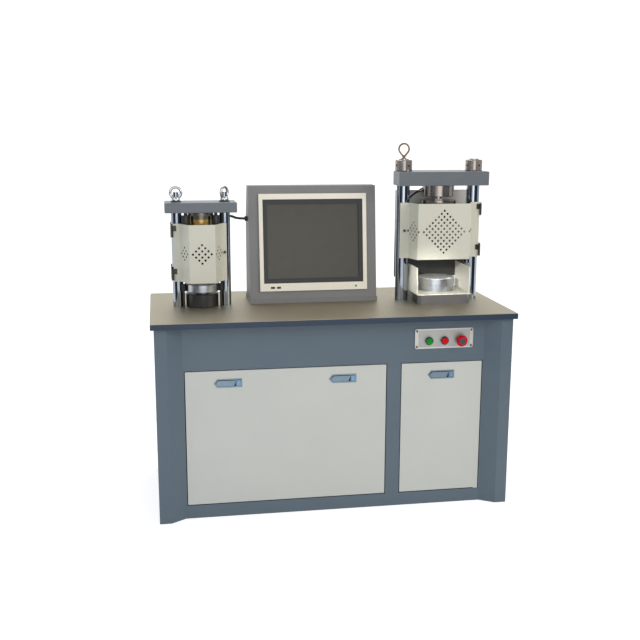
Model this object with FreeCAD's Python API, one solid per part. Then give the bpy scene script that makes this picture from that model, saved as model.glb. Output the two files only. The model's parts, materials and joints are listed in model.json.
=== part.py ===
import FreeCAD
import Part
import math
import os

# Flexural and compression testing machine, free-standing, millimetres.
# +X is the machine's right seen from the front, +Y its back, +Z up.
# The origin is on the floor at the centre of the worktop's plan.
V = FreeCAD.Vector
X_AXIS = V(1, 0, 0)
Y_AXIS = V(0, 1, 0)
Z_AXIS = V(0, 0, 1)

# Worktop: its width is what stands on it, side by side, with named gaps
left_margin = 60.5
flex_console_gap = 48.5
console_comp_gap = 60.5
right_margin = 37.5
top_depth = 592.0
table_height = 700.0
top_plate_thick = 18.5
skin_thick = 1.5
skin_inset = 1.0

# Cabinet shell
sheet = 2.0
side_inset = 11.5
front_inset = 14.0
rear_inset = 14.0
pillar_strip = 41.0
pillar_chamfer_x = 50.0
recess_depth = 34.0
jamb_return = 18.0
floor_gap_base = 20.0

# Doors
door_bottom = 50.0
door_down = 157.0
door_gap = 3.0
door_thick = 18.0
door_sheet = 1.5
large_door_margin = 7.5
small_door_margin = 6.5
small_door_width = 291.0
mullion_width = 55.5
hinge_pin_r = 3.0
hinge_pin_length = 26.0
hinge_pin_up = 8.0
hinge_pin_back = 8.0
pin_clearance = 0.06

# Plane latches
latch_length = 96.0
latch_height = 30.0
latch_point = 12.0
latch_drop = 43.0
latch_hole_inset = 2.6
large_latch_offsets = (96.0, 492.0)
small_latch_offset = 94.0

# Load frames, both on one line
frame_y = 23.0
yoke_thick = 60.0

comp_column_r = 24.0
comp_column_spacing = 265.0
comp_head_end = 34.5
comp_head_depth = 150.0
comp_head_up = 425.0
comp_head_thick = 50.0
comp_head_corner = 62.0
comp_nut_r = 31.0
comp_nut_height = 40.0
tommy_hole_r = 4.0
eye_wire_r = 3.2
eye_outer_r = 22.0
eye_height = 57.0
cell_r = 58.5
cell_height = 41.0
neck_r = 21.0
neck_height = 14.0
seat_r = 66.0
seat_height = 45.0
upper_platen_r = 72.0
upper_platen_height = 40.0
ball_r = 46.0
platen_gap = 0.4
lower_platen_r = 69.0
lower_platen_up = 85.0
lower_platen_height = 25.0
collar_height = 14.0
comp_ram_r = 62.5
comp_ram_length = 288.0
comp_cylinder_r = 95.0
comp_cylinder_end = 22.0
comp_ram_gap = 6.0
stud_step = 6.0
stud_proud = 4.0
base_block_width = 194.0
base_block_depth = 196.0
base_block_height = 34.0
tray_width = 200.0
tray_depth = 186.0
tray_lip = 14.0
tray_wall = 98.0
tray_sheet = 3.0
ram_clearance = 0.08

flex_column_r = 19.0
flex_column_spacing = 170.0
flex_head_end = 40.5
flex_head_depth = 115.0
flex_head_up = 337.0
flex_head_thick = 35.0
washer_r = 18.0
washer_thick = 5.0
flex_cell_r = 37.0
flex_cell_height = 52.0
flex_cell_flange_r = 46.0
flex_cell_flange = 12.0
sleeve_offset = 53.0
sleeve_forward = 16.0
sleeve_r = 15.5
sleeve_length = 46.0
flex_ram_r = 25.0
flex_ram_length = 200.0
flex_cylinder_r = 40.0
flex_cylinder_end = 15.0
flex_ram_gap = 20.0
flex_cap_r = 58.0
flex_cap_height = 47.0
flex_platen_r = 61.0
flex_platen_up = 82.0
flex_platen_height = 27.0
post_offset = 66.0
post_forward = 23.0
post_r = 4.0
post_height = 57.0
post_knob_r = 8.0
post_knob_height = 26.0
roller_r = 5.0
roller_length = 50.0
support_span = 100.0
support_height = 40.0

# Sheet guards
guard_sheet = 1.5
guard_hole_r = 3.5
guard_pitch = 15.3
comp_guard_up = 160.0
comp_guard_height = 202.0
comp_guard_front = 98.0
comp_guard_fold = 116.0
comp_guard_edge = 149.5
comp_guard_reach = 60.0
flex_guard_up = 92.0
flex_guard_height = 205.0
flex_guard_front = 46.0
flex_guard_fold = 75.0
flex_guard_edge = 89.5
flex_guard_reach = 55.0
guard_column_gap = 2.5
comp_front_holes = 8
comp_side_holes = 4
flex_front_holes = 4
flex_side_holes = 3
hinge_height = 40.0
hinge_knuckle_r = 4.0
hinge_pin = 2.0
hinge_leaf = 12.0
hinge_inset = 6.0
flange_short = 2.5
wing_gap = 1.5
rear_sheet = 2.0
rear_reach = 75.0
arm_half = 8.0
arm_height = 20.0
panel_overhang = 10.0
tab_margin = 4.0
comp_rear_under = 10.0

# Console, built round the screen
screen_width = 337.9
screen_height = 270.3
frame_side = 15.05
frame_rim = 16.85
window_width = screen_width + 2 * frame_side
window_height = screen_height + 2 * frame_rim
window_up = 28.0
bezel_side = 14.0
bezel_top_rim = 20.0
bezel_width = window_width + 2 * bezel_side
bezel_height = window_height + window_up + bezel_top_rim
bezel_low = 29.0
face_margin = 36.0
face_top_margin = 28.5
console_width = bezel_width + 2 * face_margin
console_front = 22.0
console_lean = 48.0
console_base_depth = 154.0
console_back_height = 300.0
console_top_depth = 62.0
console_lip = 15.0
console_lip_out = 3.0

# Control plate
plate_margin = 43.0
barrel_r = 11.0
barrel_gap = 0.5
plate_width = 210.0
plate_height = 70.0
plate_down = 35.0
plate_thick = 3.0
plate_corner = 7.0
button_up = 27.5
start_in = 50.0
stop_in = 106.0
estop_in = 164.5

parts = {}


def box(x0, x1, y0, y1, z0, z1):
    return Part.makeBox(x1 - x0, y1 - y0, z1 - z0, V(x0, y0, z0))


def cyl(r, length, x, y, z, axis=Z_AXIS):
    return Part.makeCylinder(r, length, V(x, y, z), axis)


def prism(points, z0, height):
    outline = [V(px, py, z0) for px, py in points]
    outline.append(outline[0])
    return Part.Face(Part.makePolygon(outline)).extrude(V(0, 0, height))


def side_prism(points, x0, length):
    outline = [V(x0, py, pz) for py, pz in points]
    outline.append(outline[0])
    return Part.Face(Part.makePolygon(outline)).extrude(V(length, 0, 0))


def front_prism(points, y0, depth):
    outline = [V(px, y0, pz) for px, pz in points]
    outline.append(outline[0])
    return Part.Face(Part.makePolygon(outline)).extrude(V(0, depth, 0))


def joined(shapes):
    whole = shapes[0]
    for shape in shapes[1:]:
        whole = whole.fuse(shape)
    return whole.removeSplitter()


def add(node, *shapes):
    solids = [s for shape in shapes for s in shape.Solids]
    if node in parts:
        solids = parts[node].Solids + solids
    parts[node] = Part.makeCompound(solids)


# Places from left to right, with the origin under the middle of the worktop
comp_head_width = comp_column_spacing + 2 * comp_head_end
flex_head_width = flex_column_spacing + 2 * flex_head_end
top_width = (left_margin + flex_head_width + flex_console_gap + console_width + console_comp_gap
             + comp_head_width + right_margin)
flex_x = -top_width / 2 + left_margin + flex_head_width / 2
comp_x = top_width / 2 - right_margin - comp_head_width / 2
console_left = flex_x + flex_head_width / 2 + flex_console_gap
console_right = console_left + console_width
console_x = (console_left + console_right) / 2

# Planes that several parts share
plate_bottom_z = table_height - skin_thick - top_plate_thick
door_top = plate_bottom_z - door_down
comp_head_bottom = table_height + comp_head_up
lower_platen_top = table_height + lower_platen_up
comp_guard_bottom = table_height + comp_guard_up
flex_head_bottom = table_height + flex_head_up
flex_platen_top = table_height + flex_platen_up
flex_guard_bottom = table_height + flex_guard_up
cabinet_left = -top_width / 2 + side_inset
cabinet_right = -cabinet_left
cabinet_front = -top_depth / 2 + front_inset
cabinet_back = top_depth / 2 - rear_inset
recess_y = cabinet_front + recess_depth
recess_left = cabinet_left + pillar_strip + pillar_chamfer_x
recess_right = -recess_left
small_door_right = recess_right - small_door_margin
small_door_left = small_door_right - small_door_width
large_door_left = recess_left + large_door_margin
large_door_right = small_door_left - mullion_width
plate_right = recess_right - plate_margin
plate_left = plate_right - plate_width
plate_top = plate_bottom_z - plate_down
plate_bottom = plate_top - plate_height
button_z = plate_bottom + button_up
start_x = plate_left + start_in
stop_x = plate_left + stop_in
estop_x = plate_left + estop_in
lip_z = table_height + console_lip
console_face = bezel_low + bezel_height + face_top_margin
console_rise = math.sqrt(console_face ** 2 - console_lean ** 2)
console_top = lip_z + console_rise


# Cabinet: folded side panels, each with its pillar and jamb

def side_panel(sign):
    outer = cabinet_right * sign
    strip = (cabinet_right - pillar_strip) * sign
    jamb = recess_right * sign
    t = sheet * sign
    outline = [
        (outer, cabinet_back),
        (outer, cabinet_front),
        (strip, cabinet_front),
        (jamb, recess_y),
        (jamb, recess_y + jamb_return),
        (jamb + t, recess_y + jamb_return),
        (jamb + t, recess_y + sheet),
        (strip + t / 3, cabinet_front + sheet),
        (outer - t, cabinet_front + sheet),
        (outer - t, cabinet_back),
    ]
    return prism(outline, 0, plate_bottom_z)


add("side_panels", side_panel(-1))
add("side_panels", side_panel(1))

door_openings = [(large_door_left, large_door_right), (small_door_left, small_door_right)]
fascia = box(recess_left, recess_right, recess_y, recess_y + sheet, 0, plate_bottom_z)
for left, right in door_openings:
    fascia = fascia.cut(
        box(left - door_gap, right + door_gap, recess_y - 1, recess_y + sheet + 1,
            door_bottom - door_gap, door_top + door_gap))
for x in (start_x, stop_x, estop_x):
    fascia = fascia.cut(cyl(barrel_r + barrel_gap, sheet + 2, x, recess_y - 1, button_z, Y_AXIS))
add("front_fascia", fascia)

rear = box(cabinet_left + sheet, cabinet_right - sheet, cabinet_back - sheet, cabinet_back,
           floor_gap_base, plate_bottom_z)
vent_count = 8
vent_pitch = 16.0
vent_length = 160.0
vent_slot = 6.0
vent_bottom = 420.0
vent_in = 290.0
for column_x in (cabinet_left + vent_in, cabinet_right - vent_in):
    for i in range(vent_count):
        z = vent_bottom + i * vent_pitch
        rear = rear.cut(box(column_x - vent_length / 2, column_x + vent_length / 2,
                            cabinet_back - sheet - 1, cabinet_back + 1, z, z + vent_slot))
add("rear_covers", rear)

inner_front = recess_y + sheet
inner_back = cabinet_back - sheet
add("cabinet_inner_frame", joined([
    box(-recess_right, recess_right, inner_front + 30, inner_back, floor_gap_base, floor_gap_base + 3),
    box(-recess_right, recess_right, inner_front + 30, inner_front + 33, 0, floor_gap_base + 3),
    box(-recess_right, recess_right, inner_back - 3, inner_back, 0, floor_gap_base + 3),
]))
base_z = floor_gap_base + 3

divider_x = (large_door_right + small_door_left) / 2
divider = box(divider_x - 1, divider_x + 1, inner_front, inner_back, base_z, plate_bottom_z - yoke_thick)

bearer = 30.0
bearers = []
for y0 in (inner_front + 24, inner_back - bearer - 2):
    bearers.append(box(cabinet_left + sheet, cabinet_right - sheet, y0, y0 + bearer,
                       plate_bottom_z - bearer, plate_bottom_z))
add("cabinet_inner_frame", *bearers)

# Worktop plate and its stainless skin, with the holes that the load frames pass through

def column_places():
    places = []
    for middle, spacing, r in ((flex_x, flex_column_spacing, flex_column_r),
                               (comp_x, comp_column_spacing, comp_column_r)):
        for sign in (-1, 1):
            places.append((middle + sign * spacing / 2, r))
    return places


worktop = box(-top_width / 2, top_width / 2, -top_depth / 2, top_depth / 2,
              plate_bottom_z, plate_bottom_z + top_plate_thick)
skin = box(-top_width / 2 + skin_inset, top_width / 2 - skin_inset,
           -top_depth / 2 + skin_inset, top_depth / 2 - skin_inset,
           table_height - skin_thick, table_height)
frame_holes = [(x, r + 0.4) for x, r in column_places()]
frame_holes += [(comp_x, comp_ram_r + 1.5), (flex_x, flex_ram_r + 1.5)]
for x, r in frame_holes:
    hole = cyl(r, top_plate_thick + skin_thick + 2, x, frame_y, plate_bottom_z - 1)
    worktop = worktop.cut(hole)
    skin = skin.cut(hole)
cable_hole_x = comp_x - comp_column_spacing / 2 + 19
cable_hole_y = frame_y + comp_head_depth / 2 + 12
cable_hole_r = 9.0
cable_hole = cyl(cable_hole_r, 60, cable_hole_x, cable_hole_y, plate_bottom_z - 20)
worktop = worktop.cut(cable_hole)
skin = skin.cut(cable_hole)
add("worktop_plate", worktop)
add("worktop_skin", skin)

# Doors hang on two pins each at their lower front edge and drop forward

def latch_outline(x, z, inset):
    half = latch_height / 2
    slope = math.atan2(half, latch_point)
    tip = x + inset / math.sin(slope)
    shoulder = x + latch_point + inset * math.tan(slope / 2)
    return [(tip, z), (shoulder, z + half - inset), (x + latch_length - inset, z + half - inset),
            (x + latch_length - inset, z - half + inset), (shoulder, z - half + inset)]


def door(left, right, latch_xs):
    front = recess_y
    shell = box(left, right, front, front + door_thick, door_bottom, door_top)
    inner = box(left + door_sheet, right - door_sheet, front + door_sheet, front + door_thick + 1,
                door_bottom + door_sheet, door_top - door_sheet)
    panel = shell.cut(inner)
    for x in (left, right):
        eye_x = x if x == left else x - hinge_pin_length + 6
        pin_z = door_bottom + hinge_pin_up
        pin_y = front + hinge_pin_back
        eye = cyl(6.5, hinge_pin_length - 6, eye_x, pin_y, pin_z, X_AXIS)
        panel = panel.fuse(eye)
    for x in (left, right):
        bore_x = x - 1 if x == left else x - hinge_pin_length + 5
        panel = panel.cut(cyl(hinge_pin_r + pin_clearance, hinge_pin_length - 4, bore_x,
                              front + hinge_pin_back, door_bottom + hinge_pin_up, X_AXIS))
    for x in latch_xs:
        z = door_top - latch_drop
        panel = panel.cut(front_prism(latch_outline(x, z, latch_hole_inset), front - 1, door_sheet + 2))
    return panel


large_latch_xs = [large_door_left + offset for offset in large_latch_offsets]
small_latch_xs = [small_door_left + small_latch_offset]
add("large_door", door(large_door_left, large_door_right, large_latch_xs))
add("small_door", door(small_door_left, small_door_right, small_latch_xs))

pins = []
for left, right in door_openings:
    for x, inward in ((left, 1), (right, -1)):
        start = x - door_gap - 1 if inward == 1 else x - hinge_pin_length + 8
        y = recess_y + hinge_pin_back
        z = door_bottom + hinge_pin_up
        pin = cyl(hinge_pin_r, hinge_pin_length - 4, start, y, z, X_AXIS)
        tab_x = x - door_gap - 1.5 if inward == 1 else x + door_gap - 0.5
        tab = box(tab_x, tab_x + 2, recess_y + sheet, y + 10, z - 8, z + 8)
        pins.append(joined([pin, tab]))
add("cabinet_inner_frame", *pins)

# Plane latches: a dished body in the door, a paddle on an upright pin and a push button
flange_thick = 1.5
dish_depth = 14.0
dish_wall = 1.2
dish_inset = 3.0
mouth_inset = 3.6
paddle_inset = 5.4
paddle_right = 75.0
paddle_slant = 7.0
paddle_pivot_x = 10.0
paddle_pivot_y = 1.2
paddle_proud = 4.5
paddle_pin_r = 1.0
paddle_pin_half = 6.4
boss_half = 2.2
latch_button_left = 78.0
latch_button_right = 91.0
latch_button_proud = 1.5
latch_button_depth = 8.0
latch_gap = 0.6


def latch_body(x, z):
    y = recess_y
    flange = front_prism(latch_outline(x, z, 0), y - flange_thick, flange_thick)
    dish = front_prism(latch_outline(x, z, dish_inset), y, dish_depth)
    hollow = latch_outline(x, z, dish_inset + dish_wall)
    dish = dish.cut(front_prism(hollow, y - 1, dish_depth + 1 - dish_wall))
    mouth = front_prism(latch_outline(x, z, mouth_inset), y - flange_thick - 1, flange_thick + 1)
    bar_left = x + paddle_right + latch_gap
    bar_right = x + latch_button_left - latch_gap
    mouth = mouth.cut(box(bar_left, bar_right, y - flange_thick - 2, y + 1,
                          z - latch_height, z + latch_height))
    body = flange.fuse(dish).cut(mouth)
    return body.cut(cyl(paddle_pin_r + pin_clearance, latch_height, x + paddle_pivot_x,
                        y + paddle_pivot_y, z - latch_height / 2))


def latch_paddle(x, z):
    y = recess_y
    outline = latch_outline(x, z, paddle_inset)
    outline[2] = (x + paddle_right, outline[2][1])
    outline[3] = (x + paddle_right - paddle_slant, outline[3][1])
    paddle = front_prism(outline, y - paddle_proud, paddle_proud)
    pivot_x = x + paddle_pivot_x
    pivot_y = y + paddle_pivot_y
    boss = cyl(paddle_pin_r + latch_gap * 2, 2 * boss_half, pivot_x, pivot_y, z - boss_half)
    pin = cyl(paddle_pin_r, 2 * paddle_pin_half, pivot_x, pivot_y, z - paddle_pin_half)
    return joined([paddle, boss, pin])


def latch_button(x, z):
    y = recess_y - flange_thick - latch_button_proud
    half = latch_height / 2 - paddle_inset
    return box(x + latch_button_left, x + latch_button_right, y, recess_y + latch_button_depth,
               z - half, z + half)


latch_z = door_top - latch_drop
latches = [("left", large_latch_xs[0]), ("middle", large_latch_xs[1]), ("right", small_latch_xs[0])]
add("large_door_latch_bodies", *[latch_body(x, latch_z) for x in large_latch_xs])
add("small_door_latch_body", latch_body(small_latch_xs[0], latch_z))
for name, x in latches:
    add("latch_paddle_" + name, latch_paddle(x, latch_z))
    add("latch_button_" + name, latch_button(x, latch_z))

# Control plate with its buttons
bezel_r = 14.5
bezel_front = 8.0
barrel_depth = 30.0
button_r = 9.0
button_fit = 0.08
lens_r = 11.0
lens_proud = 4.5
lens_recess = 6.0
lens_gap = 0.4
button_travel = 3.0
button_back = 20.0
mushroom_r = 20.0
mushroom_thick = 14.0
mushroom_gap = 6.0
cap_r = 8.5
spindle_r = 4.0

plate_front = recess_y - plate_thick
plate = box(plate_left, plate_right, plate_front, recess_y, plate_bottom, plate_top)
upright_edges = [e for e in plate.Edges if abs(e.Vertexes[0].X - e.Vertexes[1].X) < 0.01
                 and abs(e.Vertexes[0].Z - e.Vertexes[1].Z) < 0.01]
plate = plate.makeFillet(plate_corner, upright_edges)
button_xs = (start_x, stop_x, estop_x)
for x in button_xs:
    plate = plate.cut(cyl(barrel_r + barrel_gap, plate_thick + 2, x, plate_front - 1, button_z, Y_AXIS))
screw_inset = 7.0
plate_screw_r = 2.0
screws = []
for x in (plate_left + screw_inset, plate_right - screw_inset):
    for z in (plate_bottom + screw_inset, plate_top - screw_inset):
        plate = plate.cut(cyl(plate_screw_r, plate_thick + 2, x, plate_front - 1, z, Y_AXIS))
        screw_head = cyl(3.6, 1.8, x, plate_front - 1.8, z, Y_AXIS)
        screw_head = screw_head.cut(box(x - 0.5, x + 0.5, plate_front - 2, plate_front - 1, z - 3, z + 3))
        screws.append(joined([screw_head, cyl(plate_screw_r, plate_thick, x, plate_front, z, Y_AXIS)]))
add("control_plate", plate)
add("control_plate_screws", *screws)

bezels = []
for x in button_xs:
    ring = cyl(bezel_r, bezel_front, x, plate_front - bezel_front, button_z, Y_AXIS)
    ring = ring.makeChamfer(1.5, [ring.Edges[0] if ring.Edges[0].CenterOfMass.y < ring.Edges[2].CenterOfMass.y
                                  else ring.Edges[2]])
    barrel = cyl(barrel_r, barrel_depth, x, plate_front, button_z, Y_AXIS)
    bore = cyl(button_r + button_fit, barrel_depth + bezel_front + 2, x, plate_front - bezel_front - 1,
               button_z, Y_AXIS)
    well = cyl(lens_r + lens_gap, lens_recess + 1, x, plate_front - bezel_front - 1, button_z, Y_AXIS)
    bezels.append(joined([ring, barrel]).cut(bore).cut(well))
add("button_bezels", *bezels)


def push_button(x):
    front = plate_front - bezel_front - lens_proud
    lens = cyl(lens_r, lens_proud + lens_recess - button_travel - lens_gap, x, front, button_z, Y_AXIS)
    return joined([lens, cyl(button_r, plate_front + button_back - front, x, front, button_z, Y_AXIS)])


add("start_button", push_button(start_x))
add("stop_button", push_button(stop_x))

mushroom_back = plate_front - bezel_front - mushroom_gap
stem = cyl(button_r, mushroom_gap + bezel_front + 20, estop_x, mushroom_back, button_z, Y_AXIS)
spindle = cyl(spindle_r, 8, estop_x, mushroom_back - 8, button_z, Y_AXIS)
add("emergency_stop_stem", joined([stem, spindle]))
dome_r = (mushroom_r ** 2 + 5 ** 2) / 10
dome = Part.makeSphere(dome_r, V(estop_x, mushroom_back - mushroom_thick + dome_r, button_z))
mushroom = cyl(mushroom_r, mushroom_thick, estop_x, mushroom_back - mushroom_thick, button_z, Y_AXIS)
mushroom = mushroom.common(dome)
mushroom = mushroom.cut(cyl(spindle_r + pin_clearance, 8.5, estop_x, mushroom_back - 8.5, button_z, Y_AXIS))
cap_y = mushroom_back - mushroom_thick
mushroom = mushroom.cut(cyl(cap_r, 3, estop_x, cap_y - 0.5, button_z, Y_AXIS))
add("emergency_stop_mushroom", mushroom)
add("emergency_stop_mushroom", cyl(cap_r, 2.5, estop_x, cap_y, button_z, Y_AXIS))

# Compression frame


def comp_plan(width, depth, corner):
    x0 = comp_x - width / 2
    x1 = comp_x + width / 2
    y0 = frame_y - depth / 2
    y1 = frame_y + depth / 2
    return [(x0, y0), (x1, y0), (x1, y1 - corner), (x1 - corner, y1), (x0 + corner, y1), (x0, y1 - corner)]


stud_r = comp_column_r - stud_step
comp_column_xs = (comp_x - comp_column_spacing / 2, comp_x + comp_column_spacing / 2)
comp_head_top = comp_head_bottom + comp_head_thick
comp_yoke_top = plate_bottom_z
comp_yoke_bottom = comp_yoke_top - yoke_thick
comp_ram_top = lower_platen_top - lower_platen_height - collar_height

head = prism(comp_plan(comp_head_width, comp_head_depth, comp_head_corner), comp_head_bottom, comp_head_thick)
yoke = prism(comp_plan(comp_head_width, comp_head_depth, 20), comp_yoke_bottom, yoke_thick)
columns = []
nuts = []
for x in comp_column_xs:
    shank = cyl(comp_column_r, comp_head_top - comp_yoke_bottom, x, frame_y, comp_yoke_bottom)
    stud = cyl(stud_r, comp_nut_height + stud_proud, x, frame_y, comp_head_top)
    columns.append(joined([shank, stud]))
    hole = cyl(comp_column_r, comp_head_thick, x, frame_y, comp_head_bottom)
    head = head.cut(hole)
    yoke = yoke.cut(cyl(comp_column_r, yoke_thick, x, frame_y, comp_yoke_bottom))
    nut = cyl(comp_nut_r, comp_nut_height, x, frame_y, comp_head_top)
    nut = nut.makeChamfer(2, [e for e in nut.Edges if len(e.Vertexes) == 1])
    nut = nut.cut(cyl(stud_r, comp_nut_height + 2, x, frame_y, comp_head_top - 1))
    for turn in range(4):
        angle = math.radians(20 + 90 * turn)
        radial = V(math.cos(angle), math.sin(angle), 0)
        start = V(x, frame_y, comp_head_top + comp_nut_height / 2) + radial * (comp_nut_r - 9)
        nut = nut.cut(Part.makeCylinder(tommy_hole_r, 20, start, radial))
    nuts.append(nut)
yoke = yoke.cut(cyl(comp_ram_r + ram_clearance, yoke_thick, comp_x, frame_y, comp_yoke_bottom))
head = head.makeChamfer(1.5, [e for e in head.Edges if e.Curve.TypeId == "Part::GeomLine"
                              and abs(e.Vertexes[0].Z - e.Vertexes[1].Z) < 0.01])
add("crossheads", head)
add("cylinder_blocks", yoke)
add("frame_columns", *columns)
add("comp_column_nuts", *nuts)


def eye_bolt(x, y, z):
    ring_z = z + eye_height - eye_outer_r
    centre_r = eye_outer_r - eye_wire_r
    neck = V(x, y, z + 6)
    reach = ring_z - neck.z
    tangent = math.acos(centre_r / reach)
    start_angle = -math.pi / 2 + tangent
    right = V(x + centre_r * math.cos(start_angle), y, ring_z + centre_r * math.sin(start_angle))
    left = V(2 * x - right.x, y, right.z)
    crown = V(x, y, ring_z + centre_r)
    path = Part.Wire([Part.LineSegment(V(x + 0.8, y, neck.z), right).toShape(),
                      Part.Arc(right, crown, left).toShape(),
                      Part.LineSegment(left, V(x - 0.8, y, neck.z)).toShape()])
    first = path.Edges[0]
    section = Part.Wire([Part.makeCircle(eye_wire_r, first.Vertexes[0].Point,
                                         right - first.Vertexes[0].Point)])
    loop = path.makePipeShell([section], True, False)
    shank = cyl(5, 9, x, y, z)
    collar = cyl(9, 3, x, y, z)
    return joined([shank, collar, Part.makeSphere(6.0, V(x, y, z + 8)), loop])


stud_top = comp_head_top + comp_nut_height + stud_proud
add("comp_lifting_eye", eye_bolt(comp_column_xs[0], frame_y, stud_top))

cell = cyl(cell_r, cell_height, comp_x, frame_y, comp_head_bottom - cell_height)
cell = cell.makeChamfer(1.5, [e for e in cell.Edges if len(e.Vertexes) == 1])
seat_top = comp_head_bottom - cell_height - neck_height
seat_bottom = seat_top - seat_height
platen_top = seat_bottom - platen_gap
neck = cyl(neck_r, neck_height, comp_x, frame_y, seat_top)
add("comp_load_cell", joined([cell, neck]))

ball_centre = V(comp_x, frame_y, platen_top - 12)
ball_height = 26.0
seat = cyl(seat_r, seat_height, comp_x, frame_y, seat_bottom)
seat = seat.cut(Part.makeSphere(ball_r + pin_clearance, ball_centre))
add("comp_ball_seat", seat)
upper_platen = cyl(upper_platen_r, upper_platen_height, comp_x, frame_y, platen_top - upper_platen_height)
dish_relief = 2.5
relief = cyl(upper_platen_r + 1, dish_relief + 1, comp_x, frame_y, platen_top - dish_relief)
relief = relief.cut(cyl(ball_r - 2, dish_relief + 3, comp_x, frame_y, platen_top - dish_relief - 1))
upper_platen = upper_platen.cut(relief)
ball_cap = Part.makeSphere(ball_r, ball_centre).common(
    cyl(ball_r + 2, ball_height, comp_x, frame_y, ball_centre.z))
add("comp_upper_platen", joined([upper_platen, ball_cap]))

lower_platen = cyl(lower_platen_r, lower_platen_height, comp_x, frame_y,
                   lower_platen_top - lower_platen_height)
lower_platen = lower_platen.makeChamfer(1.0, [e for e in lower_platen.Edges if len(e.Vertexes) == 1])
add("comp_lower_platen", lower_platen)
add("comp_ram", cyl(lower_platen_r - 1.5, collar_height, comp_x, frame_y, comp_ram_top))
ram = cyl(comp_ram_r, comp_ram_length, comp_x, frame_y, comp_ram_top - comp_ram_length)
add("comp_ram", ram)
cylinder_bottom = comp_ram_top - comp_ram_length - comp_ram_gap - comp_cylinder_end
comp_cylinder_length = comp_yoke_bottom - cylinder_bottom
barrel = cyl(comp_cylinder_r, comp_cylinder_length, comp_x, frame_y, cylinder_bottom)
barrel = barrel.cut(cyl(comp_ram_r + ram_clearance, comp_cylinder_length, comp_x, frame_y,
                        cylinder_bottom + comp_cylinder_end))
add("cylinder_blocks", barrel)

block = box(comp_x - base_block_width / 2, comp_x + base_block_width / 2,
            frame_y - base_block_depth / 2 - 12, frame_y + base_block_depth / 2,
            table_height, table_height + base_block_height)
block = block.makeChamfer(10, [e for e in block.Edges if abs(e.Vertexes[0].Z - e.Vertexes[1].Z) > 10])
block = block.cut(cyl(comp_ram_r + ram_clearance, base_block_height, comp_x, frame_y, table_height))
add("comp_base_block", block)
tray_z = table_height + base_block_height
tray_front = frame_y - base_block_depth / 2 - tray_lip
tray = box(comp_x - tray_width / 2, comp_x + tray_width / 2, tray_front, tray_front + tray_depth,
           tray_z, tray_z + tray_sheet)
for x0 in (comp_x - tray_width / 2, comp_x + tray_width / 2 - tray_sheet):
    tray = tray.fuse(box(x0, x0 + tray_sheet, tray_front + tray_lip, tray_front + tray_depth,
                         tray_z, tray_z + tray_wall))
tray = tray.removeSplitter().cut(cyl(comp_ram_r + 2, tray_sheet + 2, comp_x, frame_y, tray_z - 1))
add("comp_debris_tray", tray)

# Flexural frame
flex_column_xs = (flex_x - flex_column_spacing / 2, flex_x + flex_column_spacing / 2)
flex_head_top = flex_head_bottom + flex_head_thick
flex_yoke_thick = 40.0
flex_yoke_bottom = plate_bottom_z - flex_yoke_thick

flex_head = box(flex_x - flex_head_width / 2, flex_x + flex_head_width / 2,
                frame_y - flex_head_depth / 2, frame_y + flex_head_depth / 2,
                flex_head_bottom, flex_head_top)
flex_yoke = box(flex_x - flex_head_width / 2, flex_x + flex_head_width / 2,
                frame_y - flex_head_depth / 2, frame_y + flex_head_depth / 2,
                flex_yoke_bottom, plate_bottom_z)
eye_stud_r = 10.0
eye_nut_base_r = 15.0
eye_nut_base = 13.0
eye_ring_r = 24.0
eye_ring_wire = 5.0
stud_stand_out = 34.0
columns = []
washers = []
eye_nuts = []
for x, turn in zip(flex_column_xs, (0, 50)):
    shank = cyl(flex_column_r, flex_head_top - flex_yoke_bottom, x, frame_y, flex_yoke_bottom)
    stud = cyl(eye_stud_r, stud_stand_out, x, frame_y, flex_head_top)
    columns.append(joined([shank, stud]))
    flex_head = flex_head.cut(cyl(flex_column_r, flex_head_thick, x, frame_y, flex_head_bottom))
    flex_yoke = flex_yoke.cut(cyl(flex_column_r, flex_yoke_thick, x, frame_y, flex_yoke_bottom))
    washer = cyl(washer_r, washer_thick, x, frame_y, flex_head_top)
    washers.append(washer.cut(cyl(eye_stud_r, washer_thick, x, frame_y, flex_head_top)))
    base_z_nut = flex_head_top + washer_thick
    ring_z = base_z_nut + eye_nut_base + eye_ring_r - eye_ring_wire - 4
    ring = Part.makeTorus(eye_ring_r - eye_ring_wire, eye_ring_wire, V(x, frame_y, ring_z), Y_AXIS)
    ring.rotate(V(x, frame_y, ring_z), Z_AXIS, turn)
    nut_base = cyl(eye_nut_base_r, eye_nut_base, x, frame_y, base_z_nut)
    nut = joined([nut_base, ring])
    nut = nut.cut(cyl(eye_stud_r, stud_stand_out + 1, x, frame_y, flex_head_top))
    eye_nuts.append(nut)
flex_yoke = flex_yoke.cut(cyl(flex_ram_r + ram_clearance, flex_yoke_thick, flex_x, frame_y, flex_yoke_bottom))
flex_head = flex_head.makeChamfer(1.5, [e for e in flex_head.Edges if e.Curve.TypeId == "Part::GeomLine"
                                        and abs(e.Vertexes[0].Z - e.Vertexes[1].Z) < 0.01])
add("crossheads", flex_head)
add("cylinder_blocks", flex_yoke)
add("frame_columns", *columns)
add("flex_eye_nuts", *washers)
add("flex_eye_nuts", *eye_nuts)

cell_flange = cyl(flex_cell_flange_r, flex_cell_flange, flex_x, frame_y, flex_head_bottom - flex_cell_flange)
cell_body = cyl(flex_cell_r, flex_cell_height, flex_x, frame_y, flex_head_bottom - flex_cell_height)
add("flex_load_cell", joined([cell_flange, cell_body]))
sleeves = []
for sign in (-1, 1):
    sleeve_top = flex_head_bottom - flex_cell_flange
    x = flex_x + sign * sleeve_offset
    sleeve = cyl(sleeve_r, sleeve_length, x, frame_y - sleeve_forward, sleeve_top - sleeve_length)
    stalk = cyl(6, flex_cell_flange, x, frame_y - sleeve_forward, sleeve_top)
    sleeves.append(joined([sleeve, stalk]))
add("flex_spring_sleeves", *sleeves)

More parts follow.
